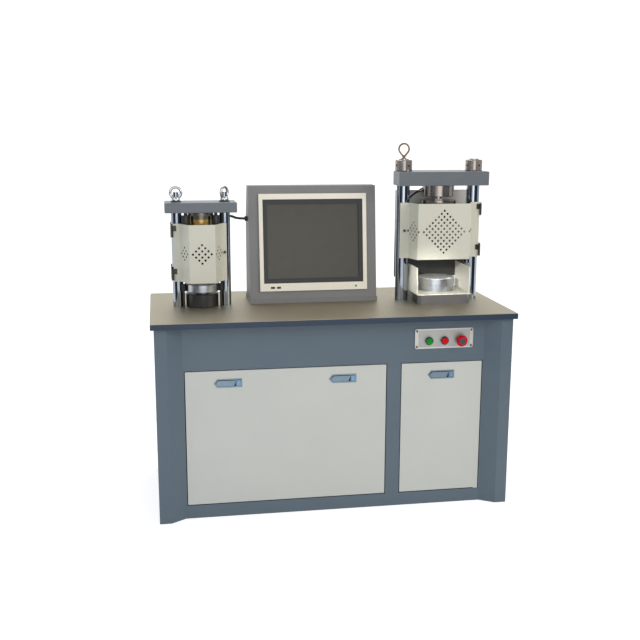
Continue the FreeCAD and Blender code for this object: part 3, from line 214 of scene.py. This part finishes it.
# %% [markdown]
# The machined parts are bare steel. Turned and ground steel shows fine tool lines, hard
# chrome shows almost none, and a brushed sheet shows long hair lines in one direction.
# All three are the same metal, so one function takes the tint, the gloss and the
# direction in which noise is stretched to draw the lines. A real hair line is about a
# tenth of a millimetre wide; it is drawn at half a millimetre so that it shows.

# %% Bare metals
def bare_metal(name, colours, roughness, line_mm, stretch, depth_mm, drift_mm=90, contrast=0.12, upper=None):
    material, tree, shader, place = start_finish(name, 1.0, roughness)
    tint = mottle(tree, place, drift_mm, colours)
    if upper:
        z_mm, blur_mm, upper_colours = upper
        tint = by_height(tree, place, z_mm, blur_mm, tint, mottle(tree, place, drift_mm, upper_colours))
    tree.links.new(tint, shader.inputs["Base Color"])
    squeezed = add_node(tree, "ShaderNodeMapping", {"Vector": place, "Scale": stretch})
    lines = add_node(tree, "ShaderNodeTexNoise",
                     {"Vector": squeezed.outputs["Vector"], "Scale": 1 / (line_mm * mm), "Detail": 3.0,
                      "Roughness": 0.6})
    gloss = add_node(tree, "ShaderNodeMapRange",
                     {"Value": lines.outputs["Fac"], "To Min": max(roughness - contrast, 0.02),
                      "To Max": roughness + contrast})
    tree.links.new(gloss.outputs["Result"], shader.inputs["Roughness"])
    tree.links.new(relief(tree, lines.outputs["Fac"], depth_mm), shader.inputs["Normal"])
    return material


along_x = (0.02, 1.0, 1.0)
around_z = (0.05, 0.05, 1.0)
even = (1.0, 1.0, 1.0)
platen_top = round(Vector(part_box("comp_lower_platen")[1]).z / mm, 2)
# Above this height the platen is painted white: a painted reflection of the window.
white_top_start = platen_top - 0.8
finishes.update({
    "stainless_top": bare_metal("brushed stainless", ("#a09885", "#aea692"), 0.5, 0.5, along_x, 0.01,
                                drift_mm=300, contrast=0.08),
    "chrome_steel": bare_metal("hard chrome", ("#9aa2ac", "#a8b0ba"), 0.1, 0.8, around_z, 0.002, 90, 0.05),
    "eye_chrome": bare_metal("bright chrome", ("#b2b4b6", "#c0c2c4"), 0.12, 0.8, even, 0.002, 90, 0.05),
    # Near-white tint on the platen's top face: painted reflection.
    "platen_chrome": bare_metal("ground chrome", ("#b4bac0", "#c0c6cc"), 0.3, 0.6, even, 0.003, 60, 0.08,
                                upper=(white_top_start, 0.4, ("#eeeeee", "#f6f6f6"))),
    "bright_steel": bare_metal("turned steel", ("#8c857f", "#a29a93"), 0.2, 0.6, around_z, 0.01),
    "base_steel": bare_metal("ground block steel", ("#85868a", "#94959a"), 0.36, 0.8, along_x, 0.01),
    "bronze_steel": bare_metal("bronzed rod", ("#7d6450", "#92765c"), 0.32, 0.8, even, 0.01),
    "brass_cell": bare_metal("golden passivated steel", ("#c09a52", "#d2b070"), 0.3, 0.8, around_z, 0.01,
                             upper=(1011, 5, ("#6b655a", "#7c766a"))),
    "latch_zinc": bare_metal("blue passivated zinc", ("#728392", "#7e8f9c"), 0.38, 0.8, even, 0.01, 30),
    "latch_button_zinc": bare_metal("light blue zinc", ("#6a8daa", "#7695b2"), 0.3, 0.8, even, 0.01, 30),
    "plate_aluminium": bare_metal("satin anodised aluminium", ("#c4c3be", "#cecdc8"), 0.42, 0.5, along_x,
                                  0.01),
    "plate_field": bare_metal("printed satin field", ("#a9a9a6", "#b3b3b0"), 0.5, 0.5, along_x, 0.01),
    "dark_steel": bare_metal("dark screw steel", ("#4a4a4e", "#5a5a5e"), 0.35, 0.5, even, 0.01),
    "bezel_steel": bare_metal("polished ring steel", ("#5c5c60", "#6e6e72"), 0.16, 0.5, even, 0.004,
                              drift_mm=20, contrast=0.05),
})
print(len(finishes), "finishes after the metals")

# %% [markdown]
# The lower crushing platen is ground steel. Its top face is painted almost white from every
# side and mirrors nothing: a painted reflection of the bright window. The finish therefore stays
# metal only up to just below the top face, and is a matt white film above that height.

# %% Painted reflection on the crushing platen's top
white_top_tree = finishes["platen_chrome"].node_tree
place = add_node(white_top_tree, "ShaderNodeTexCoord").outputs["Object"]
height = add_node(white_top_tree, "ShaderNodeSeparateXYZ", {"Vector": place}).outputs["Z"]
# Metal is switched off above that height, so the painted reflection is matt white.
bare = add_node(white_top_tree, "ShaderNodeMath", {0: height, 1: white_top_start * mm}, operation="LESS_THAN")
white_top_tree.links.new(bare.outputs[0], white_top_tree.nodes["Principled BSDF"].inputs["Metallic"])
print("painted white top above", white_top_start, "mm")

# %% [markdown]
# The small trims are moulded plastics, rubber and black oxide. A moulded part keeps the
# faint spark texture of its tool, rubber is duller, and black oxide is a thin dark skin
# on steel with a soft sheen.

# %% Plastics, rubber and black oxide
def moulded(name, colours, roughness, grain_mm, depth_mm, **shader_inputs):
    material, tree, shader, place = start_finish(name, 0.0, roughness, **shader_inputs)
    tree.links.new(mottle(tree, place, 40, colours), shader.inputs["Base Color"])
    grain = add_node(tree, "ShaderNodeTexNoise",
                     {"Vector": place, "Scale": 1 / (grain_mm * mm), "Detail": 2.0, "Roughness": 0.5})
    tree.links.new(relief(tree, grain.outputs["Fac"], depth_mm), shader.inputs["Normal"])
    return material


finishes.update({
    "bezel_plastic": moulded("cream ABS", ("#e1dbcb", "#e9e3d4"), 0.38, 0.9, 0.02, IOR=1.53),
    "black_plastic": moulded("black ABS", ("#1b1b1c", "#232324"), 0.4, 0.9, 0.02, IOR=1.53),
    "stop_disc": moulded("grey blue ABS", ("#173945", "#204652"), 0.4, 0.9, 0.01, IOR=1.53),
    "plate_line": moulded("dark screen ink", ("#77767a", "#828185"), 0.5, 0.9, 0.004, IOR=1.5),
    "green_plastic": moulded("green polycarbonate", ("#00801c", "#048a24"), 0.3, 1.2, 0.005,
                             Specular_IOR_Level=0.15),
    "red_plastic": moulded("red polycarbonate", ("#bc0010", "#c80418"), 0.3, 1.2, 0.005,
                           Specular_IOR_Level=0.15),
    "cable_jacket": moulded("black PVC", ("#141415", "#1c1c1e"), 0.45, 0.7, 0.02, IOR=1.53),
    "black_oxide": moulded("black oxide", ("#161617", "#212122"), 0.34, 0.8, 0.02, IOR=1.6),
    "screen_glass": moulded("anti-glare panel", ("#38362c", "#3e3c31"), 0.3, 1.5, 0.004, IOR=1.5),
})

# %% [markdown]
# Each CAD node has a material slot in the record, and a finish of the same name exists
# for it. Nodes that a smoother piece replaces further down are dressed too, so that
# nothing is left bare if that piece is taken out.

# %% Give every CAD node its finish
for part in frame["record"]["subparts"]:
    piece = cad_nodes[part["node"]]
    piece.data.materials.clear()
    piece.data.materials.append(finishes[part["material_slot"]])
print(len(cad_nodes), "CAD nodes dressed")

# %% [markdown]
# CAD leaves every fold and edge razor sharp, and real sheet and castings never are. A
# small bevel modifier on the flat-sided nodes rounds those edges without touching their
# meshes, so that each one catches a thin line of light. The angle limit keeps it off the
# seams between the triangles of one flat face.

# %% Rounded edges on the flat-sided nodes
def round_edges(node, width_mm, segments=3, angle=40):
    bevel = cad_nodes[node].modifiers.new("rounded edges", "BEVEL")
    bevel.width = width_mm * mm
    bevel.segments = segments
    bevel.limit_method = "ANGLE"
    bevel.angle_limit = math.radians(angle)
    bevel.use_clamp_overlap = True
    bevel.harden_normals = False


edge_widths = {"worktop_plate": 1.2, "large_door": 1.3, "small_door": 1.3, "crossheads": 1.5,
               "comp_debris_tray": 0.6, "control_plate": 0.5, "monitor_bezel": 2.0,
               "monitor_inner_frame": 1.0, "console_housing": 0.9, "comp_base_block": 1.0}
for node, width in edge_widths.items():
    round_edges(node, width)
print("rounded", len(edge_widths), "nodes")

# %% [markdown]
# New pieces come out of a few small mesh helpers. The first takes a bmesh, makes an
# object of it, smooths what is round and keeps what is sharp, gives it its finish,
# parents it to the body it rides on and hides the CAD nodes it stands for.

# %% Helper that finishes a new piece
def settle(name, shape, finish, body, *nodes, sharp=35, slot=None):
    data = bpy.data.meshes.new(name)
    shape.normal_update()
    shape.to_mesh(data)
    shape.free()
    data.shade_smooth()
    data.set_sharp_from_angle(angle=math.radians(sharp))
    piece = bpy.data.objects.new(name, data)
    piece.data.materials.append(finishes[finish])
    scene.collection.objects.link(piece)
    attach(piece, body)
    if nodes:
        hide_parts(*nodes)
    return piece


# %% [markdown]
# Lenses, grips, washers and the mushroom head are turned or moulded round. Spinning a
# half profile about its axis is how a lathe makes them, and it gives clean rings of
# faces. The profile is written as radius and distance along the axis, in millimetres.

# %% Helper for turned pieces
toward_viewer = Matrix(((1, 0, 0), (0, 0, -1), (0, 1, 0))).to_4x4()


def turned(profile, place, facing=None, steps=48):
    shape = bmesh.new()
    rings = []
    for r, along in profile:
        if r == 0:
            rings.append([shape.verts.new((0, 0, along * mm))])
        else:
            rings.append([shape.verts.new((r * mm * math.cos(2 * math.pi * i / steps),
                                           r * mm * math.sin(2 * math.pi * i / steps), along * mm))
                          for i in range(steps)])
    for low, high in zip(rings, rings[1:]):
        for i in range(steps):
            j = (i + 1) % steps
            corners = [low[i % len(low)], low[j % len(low)], high[j % len(high)], high[i % len(high)]]
            shape.faces.new(list(dict.fromkeys(corners)))
    bmesh.ops.recalc_face_normals(shape, faces=shape.faces)
    shape.transform(Matrix.Translation(place) @ (facing or Matrix.Identity(4)))
    return shape


# %% [markdown]
# The two guards are one folded sheet each, with round holes punched in a diamond. The
# real folds have a radius of a few millimetres, which the CAD leaves out. The sheet is
# laid out flat here as a fabricator would, the holes are cut in the flat pattern by a
# constrained triangulation, and then the pattern is wrapped round the folds.

# %% Folded and punched sheet
from mathutils.geometry import delaunay_2d_cdt

guard_hole_r = 4.1
hole_pitch = 15.3
sheet_thick = 1.5
fold_r = 4.0
fold_steps = 6


def folded_path(corners):
    """Points of the plan line with rounded corners, their distances along it, and each flat's middle."""
    places = [Vector(corners[0])]
    breaks = []
    for before, corner, after in zip(corners, corners[1:], corners[2:]):
        corner = Vector(corner)
        back = (Vector(before) - corner).normalized()
        ahead = (Vector(after) - corner).normalized()
        half_turn = (math.pi - back.angle(ahead)) / 2
        cut = fold_r * math.tan(half_turn)
        centre = corner + (back + ahead).normalized() * fold_r / math.cos(half_turn)
        start = corner + back * cut - centre
        end = corner + ahead * cut - centre
        breaks.append(len(places))
        for i in range(fold_steps + 1):
            t = i / fold_steps
            ray = (start * math.sin((1 - t) * 2 * half_turn) + end * math.sin(t * 2 * half_turn))
            places.append(centre + ray / math.sin(2 * half_turn))
    places.append(Vector(corners[-1]))
    distances = [0.0]
    for a, b in zip(places, places[1:]):
        distances.append(distances[-1] + (b - a).length)
    edges = [0] + [i for start in breaks for i in (start, start + fold_steps)] + [len(places) - 1]
    middles = [(distances[a] + distances[b]) / 2 for a, b in zip(edges[::2], edges[1::2])]
    return places, distances, middles


def diamond(count, middle, height):
    """Centres of count by count holes, standing on a corner."""
    step = hole_pitch / math.sqrt(2)
    return [(middle + (i - j) * step, height / 2 + (i + j - count + 1) * step)
            for i in range(count) for j in range(count)]


def punched_guard(name, body, plan, bottom, height, grids):
    places, distances, middles = folded_path(plan)
    flat = [(0, 0), (distances[-1], 0), (distances[-1], height), (0, height)]
    edges = [(0, 1), (1, 2), (2, 3), (3, 0)]
    for distance in distances[1:-1]:
        edges.append((len(flat), len(flat) + 1))
        flat += [(distance, 0), (distance, height)]
    holes = [hole for panel, count in grids for hole in diamond(count, middles[panel], height)]
    ring_steps = 16
    for u, v in holes:
        first = len(flat)
        for i in range(ring_steps):
            angle = 2 * math.pi * (i + 0.5) / ring_steps
            flat.append((u + guard_hole_r * math.cos(angle), v + guard_hole_r * math.sin(angle)))
            edges.append((first + i, first + (i + 1) % ring_steps))
    points, _, faces, _, _, _ = delaunay_2d_cdt([Vector(p) for p in flat], edges, [], 0, 1e-4)
    shape = bmesh.new()
    verts = []
    for point in points:
        i = max(k for k, d in enumerate(distances[:-1]) if d <= point.x + 1e-3)
        t = (point.x - distances[i]) / (distances[i + 1] - distances[i])
        plan_place = places[i].lerp(places[i + 1], t)
        verts.append(shape.verts.new((plan_place.x * mm, plan_place.y * mm, (bottom + point.y) * mm)))
    for face in faces:
        middle = sum((points[k] for k in face), Vector((0, 0))) / len(face)
        if all((middle - Vector(hole)).length > guard_hole_r * 0.9 for hole in holes):
            shape.faces.new([verts[k] for k in face])
    bmesh.ops.delete(shape, geom=[v for v in shape.verts if not v.link_faces], context="VERTS")
    bmesh.ops.recalc_face_normals(shape, faces=shape.faces)
    middle_face = min(shape.faces, key=lambda f: f.calc_center_median().y)
    if middle_face.normal.y > 0:
        bmesh.ops.reverse_faces(shape, faces=shape.faces)
    bmesh.ops.solidify(shape, geom=shape.faces[:], thickness=sheet_thick * mm)
    bmesh.ops.recalc_face_normals(shape, faces=shape.faces)
    guard = settle(name, shape, "guard_paint", body, body)
    even = guard.modifiers.new("even shading", "WEIGHTED_NORMAL")
    even.keep_sharp = True
    print(name, "has", len(holes), "holes and", len(guard.data.polygons), "faces")
    return guard


def guard_plan(x, front, fold, left_edge, right_edge, y_flange, reach):
    return [(left_edge, y_flange), (x - fold, y_flange), (x - front, y_flange - reach),
            (x + front, y_flange - reach), (x + fold, y_flange), (right_edge, y_flange)]


comp_x = 425.5
flex_x = -444
comp_plan = guard_plan(comp_x, front=98, fold=116, left_edge=276, right_edge=577, y_flange=-5.0, reach=60)
flex_plan = guard_plan(flex_x, front=46, fold=75, left_edge=-543, right_edge=-354.5, y_flange=0.0, reach=55)
punched_guard("compression_guard_sheet", "comp_guard", comp_plan, bottom=860, height=202,
              grids=[(1, 4), (2, 8), (3, 4)])
punched_guard("flexural_guard_sheet", "flex_guard", flex_plan, bottom=792, height=205,
              grids=[(1, 3), (2, 4), (3, 3)])

# %% [markdown]
# Both signal cables are plain round PVC cable. The CAD tubes turn in arcs; here each one
# is a smooth spline through the same guide points, with a round bevel for its thickness.

# %% Signal cables
def cable(name, points, thick_mm):
    curve = bpy.data.curves.new(name, "CURVE")
    curve.dimensions = "3D"
    line = curve.splines.new("NURBS")
    line.points.add(len(points) - 1)
    for held, point in zip(line.points, points):
        held.co = [v * mm for v in point] + [1]
    line.order_u = 3
    line.use_endpoint_u = True
    line.resolution_u = 12
    curve.bevel_depth = thick_mm * mm / 2
    curve.bevel_resolution = 5
    curve.materials.append(finishes["cable_jacket"])
    piece = bpy.data.objects.new(name, curve)
    scene.collection.objects.link(piece)
    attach(piece, "root")
    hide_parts("signal_cables")
    return piece


cable("bending_cell_cable", [(-410, 58, 1004), (-388, 72, 1010), (-358, 85, 1017), (-328, 99, 1013),
                             (-308, 108, 1002), (-264, 108, 1002)], 9)
cable("crushing_cell_cable", [(359, 31, 1104), (337, 45, 1092), (317, 69, 1058), (312, 84, 990),
                              (311, 89, 915), (312, 89, 820), (312, 90, 765), (312, 110, 728),
                              (312, 110, 650), (287, 110, 618), (287, 110, 600)], 7)

# %% [markdown]
# The push buttons are moulded lenses in chromed rings, and the emergency stop is a red
# mushroom with a grey-blue disc in its middle. All of them are turned from a profile of
# radius and height above the plate. The CAD has plain cylinders there, and what the eye
# misses on those is the rim round each lens and the soft shoulder of the mushroom.

# %% Lenses and mushroom head
plate_front_y = -251
button_z = 602.5
start_x = 324.5
stop_x = 380.5
emergency_x = 439.0
lens_profile = [(9, -18), (9, 5.4), (11, 5.4), (11, 11.4), (10.7, 12.1), (10.0, 12.5), (9.2, 12.4),
                (8.6, 11.9), (7.0, 12.2), (4.0, 12.6), (0, 12.8)]
for name, x, finish in (("start_button", start_x, "green_plastic"), ("stop_button", stop_x, "red_plastic")):
    lens_shape = turned(lens_profile, Vector((x, plate_front_y, button_z)) * mm, toward_viewer)
    settle(name + "_lens", lens_shape, finish, name, name, sharp=50)

mushroom_place = Vector((emergency_x, plate_front_y, button_z)) * mm
mushroom_profile = [(4.2, 14), (15, 14), (18.4, 14.7), (19.8, 16.4), (20, 18.0), (19.6, 20.0), (18.3, 22.4),
                    (16.0, 24.6), (13.6, 26.2), (12.0, 27.0), (11.3, 27.2), (10.9, 26.9), (10.8, 26.0)]
settle("mushroom_head", turned(mushroom_profile, mushroom_place, toward_viewer, 64), "red_plastic",
       "emergency_stop_mushroom", "emergency_stop_mushroom")
disc_profile = [(10.7, 25.4), (10.7, 27.2), (10.1, 27.8), (8.0, 28.0), (0, 28.0)]
settle("mushroom_disc", turned(disc_profile, mushroom_place, toward_viewer), "stop_disc",
       "emergency_stop_mushroom", "emergency_stop_mushroom", slot="black_plastic")
print("buttons at x", start_x, stop_x, emergency_x, "z", button_z)

# %% [markdown]
# The control plate is anodised aluminium with a printed inner field and a fine line
# round it. The field is thin enough to be a print, so it is one flat rounded sheet a
# tenth of a millimetre in front of the plate, and the line is a narrow frame on it.

# %% Printed field of the control plate
def rounded_corners(x0, x1, z0, z1, r, steps=8):
    places = []
    centres = ((x1 - r, z1 - r, 0), (x0 + r, z1 - r, 90), (x0 + r, z0 + r, 180), (x1 - r, z0 + r, 270))
    for cx, cz, start in centres:
        for i in range(steps + 1):
            angle = math.radians(start + 90 * i / steps)
            places.append((cx + r * math.cos(angle), cz + r * math.sin(angle)))
    return places


def flat_outline(name, outer, inner, y, finish, slot):
    shape = bmesh.new()
    rim = [shape.verts.new((x * mm, y * mm, z * mm)) for x, z in outer]
    if inner:
        hole = [shape.verts.new((x * mm, y * mm, z * mm)) for x, z in inner]
        for i in range(len(rim)):
            j = (i + 1) % len(rim)
            shape.faces.new((rim[i], hole[i], hole[j], rim[j]))
    else:
        shape.faces.new(list(reversed(rim)))
    return settle(name, shape, finish, "root", slot=slot)


plate_left, plate_right, plate_low, plate_high = 274.5, 484.5, 575, 645
field_side = 13
field_edge = 6
field_r = 4
line_width = 0.9


def plate_outline(inset):
    side = field_side + inset
    edge = field_edge + inset
    return rounded_corners(plate_left + side, plate_right - side, plate_low + edge, plate_high - edge,
                           field_r - inset)


field = plate_outline(0)
flat_outline("plate_field", field, None, plate_front_y - 0.1, "plate_field", "plate_aluminium")
flat_outline("plate_line", field, plate_outline(line_width), plate_front_y - 0.15, "plate_line",
             "plate_aluminium")

# %% [markdown]
# A lifting eye nut is a short collar that flows into a ring, forged in one piece and
# chromed. Each sits on a black washer. A torus joined to a turned collar gives its shape,
# and the ring of the right nut is turned further round its thread than the left one.

# %% Eye nuts and washers
def ring_bar(place, ring_r, wire_r, turn, steps=56, sides=20):
    shape = bmesh.new()
    loops = []
    for i in range(steps):
        a = 2 * math.pi * i / steps
        loops.append([shape.verts.new(((ring_r + wire_r * math.cos(b)) * math.cos(a), wire_r * math.sin(b),
                                       (ring_r + wire_r * math.cos(b)) * math.sin(a)))
                      for b in (2 * math.pi * k / sides for k in range(sides))])
    for one, other in zip(loops, loops[1:] + loops[:1]):
        for k in range(sides):
            m = (k + 1) % sides
            shape.faces.new((one[k], one[m], other[m], other[k]))
    bmesh.ops.recalc_face_normals(shape, faces=shape.faces)
    shape.transform(Matrix.Translation(place) @ Matrix.Rotation(math.radians(turn), 4, "Z"))
    return shape


nut_low, nut_high = (round(corner.z / mm, 2) for corner in map(Vector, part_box("flex_eye_nuts")))
frame_y = 23
flex_column_half = 85
washer_thick = 4.0
ring_lift = 28
ring_r = 19
ring_wire_r = 5
collar = [(9, 0), (13.6, 0), (15, 1.2), (15, 8.0), (14.2, 10.6), (12.0, 12.6), (9.5, 14.0), (6.0, 15.0),
          (0, 15.4)]
washer_profile = [(10, 0), (18.2, 0), (19, 0.8), (19, 3.2), (18.2, 4.0), (10, 4.0)]
for name, x, turn in (("left", flex_x - flex_column_half, 0), ("right", flex_x + flex_column_half, 50)):
    foot = Vector((x, frame_y, nut_low)) * mm
    settle(name + "_washer", turned(washer_profile, foot), "black_oxide", "root", "flex_eye_nuts", sharp=50)
    on_washer = foot + Vector((0, 0, washer_thick * mm))
    settle(name + "_eye_collar", turned(collar, on_washer), "eye_chrome", "root", "flex_eye_nuts",
           slot="chrome_steel")
    ring_middle = on_washer + Vector((0, 0, ring_lift * mm))
    settle(name + "_eye_ring", ring_bar(ring_middle, ring_r * mm, ring_wire_r * mm, turn), "eye_chrome",
           "root", "flex_eye_nuts", slot="chrome_steel")
print("eye nuts from", nut_low, "to", nut_high, "mm")

# %% [markdown]
# The two posts beside the bending platen carry black moulded grips. Rings cut into a grip
# keep a thumb from slipping, and those rings are what catches the light.

# %% Side posts with their grips
table_z = 700
post_y = 0
post_half = 66
post_profile = [(4, 0), (4, 57)]
grip_profile = [(4, 57), (7.2, 57), (8, 57.8)]
for groove in range(4):
    start = 61 + groove * 4.6
    grip_profile += [(8, start), (7.3, start + 0.7), (7.3, start + 1.5), (8, start + 2.2)]
grip_profile += [(8, 81.6), (7.4, 82.6), (6.2, 83.0), (0, 83.0)]
for name, x in (("left", flex_x - post_half), ("right", flex_x + post_half)):
    foot = Vector((x, post_y, table_z)) * mm
    settle(name + "_post", turned(post_profile, foot, steps=32), "black_oxide", "root", "flex_side_posts")
    settle(name + "_grip", turned(grip_profile, foot), "black_plastic", "root", "flex_side_posts", sharp=30)

# %% [markdown]
# The stage is that of a catalogue shot: a pale floor that runs up into a pale wall in one
# smooth sweep. It only looks fully white to the camera, to mirrors and through glass, so
# that the metal reflects a bright room while the floor still keeps the soft shadow.

# %% Floor and wall
def stage_material(name, code, glow):
    material = bpy.data.materials.new(name)
    material.use_nodes = True
    tree = material.node_tree
    shader = tree.nodes["Principled BSDF"]
    shader.inputs["Base Color"].default_value = linear(code)
    shader.inputs["Roughness"].default_value = 0.9
    shader.inputs["Emission Color"].default_value = linear("#ffffff")
    rays = add_node(tree, "ShaderNodeLightPath").outputs
    seen = rays["Is Camera Ray"]
    for other in ("Is Glossy Ray", "Is Transmission Ray"):
        seen = add_node(tree, "ShaderNodeMath", {0: seen, 1: rays[other]}, operation="MAXIMUM").outputs[0]
    strength = add_node(tree, "ShaderNodeMath", {0: seen, 1: glow}, operation="MULTIPLY").outputs[0]
    tree.links.new(strength, shader.inputs["Emission Strength"])
    return material


floor_half = 9.0
bend_start = 3.0
bend_r = 2.0
wall_top = 7.0
section = [(-floor_half, 0.0)]
section += [(bend_start + bend_r * math.sin(a * math.pi / 24), bend_r * (1 - math.cos(a * math.pi / 24)))
            for a in range(13)]
section.append((bend_start + bend_r, wall_top))
sweep = bmesh.new()
rows = [[sweep.verts.new((x, y, z - 0.0005)) for x in (-floor_half, floor_half)] for y, z in section]
for near, far in zip(rows, rows[1:]):
    sweep.faces.new((near[0], near[1], far[1], far[0])).smooth = True
mesh = bpy.data.meshes.new("floor_sweep")
sweep.to_mesh(mesh)
floor = bpy.data.objects.new("floor_sweep", mesh)
floor.data.materials.append(stage_material("paper sweep", "#e4e4e4", 0.55))
scene.collection.objects.link(floor)

# %% [markdown]
# Bare cylinders need something dark to mirror, or they look like grey plastic. Two dark
# cards stand in front of the object, to its left and right. Only reflections see them,
# so they take no light from the scene and cast no shadow.

# %% Dark cards for the reflections
card_material = stage_material("dark card", "#1c2a3a", 0.0)
card_top = 1.1
for name, near, far in (("left_card", (-3.0, -0.8), (-1.3, -2.4)), ("right_card", (0.9, -2.4), (2.6, -0.8))):
    shape = bmesh.new()
    shape.faces.new([shape.verts.new((x, y, z)) for (x, y), z in
                     ((near, 0.0), (far, 0.0), (far, card_top), (near, card_top))])
    card_mesh = bpy.data.meshes.new(name)
    shape.to_mesh(card_mesh)
    card = bpy.data.objects.new(name, card_mesh)
    card_mesh.materials.append(card_material)
    card.visible_camera = False
    card.visible_diffuse = False
    card.visible_shadow = False
    scene.collection.objects.link(card)
print("dark cards up to", card_top, "m")

# %% [markdown]
# The air of the studio is one even, very slightly cool white. It gives every side of the
# object some light, so that no hollow goes black.

# %% World
world = bpy.data.worlds.new("studio air")
scene.world = world
world.use_nodes = True
air = world.node_tree
background = air.nodes["Background"]
background.inputs["Color"].default_value = linear("#f4f6f8")
background.inputs["Strength"].default_value = 0.72


# %% [markdown]
# The largest lamp stands to the front right, as the lit sides of the chamfers show. A
# card from the front, a fill from the left and one lamp from above soften its shadows.
# The guard keeps them all off the debris tray, so a narrow low lamp reaches in there.

# %% Lamps
def soft_light(name, place, aim, size, power, code, spread=180):
    lamp = bpy.data.lights.new(name, "AREA")
    lamp.spread = math.radians(spread)
    lamp.shape = "RECTANGLE"
    lamp.size, lamp.size_y = size
    lamp.energy = power
    lamp.color = linear(code)[:3]
    holder = bpy.data.objects.new(name, lamp)
    holder.location = place
    holder.rotation_euler = (Vector(aim) - Vector(place)).to_track_quat("-Z", "Y").to_euler()
    scene.collection.objects.link(holder)
    return holder


soft_light("window_light", (3.2, -2.6, 2.4), (0, 0, 0.7), (2.2, 1.8), 64, "#fff8ee")
soft_light("front_card", (0.1, -4.2, 1.2), (0.1, 0, 0.8), (2.4, 1.2), 14, "#ffffff")
soft_light("fill_light", (-2.6, -2.6, 2.2), (0, 0, 0.7), (2.0, 2.0), 21, "#eaf2ff")
soft_light("top_light", (0, 0.9, 3.2), (0, 0, 0.7), (2.6, 1.6), 26, "#ffffff")
soft_light("tray_light", (-0.35, -1.4, 1.3), (0.46, 0.06, 0.75), (0.1, 0.06), 0.1, "#fffdf6", spread=8)
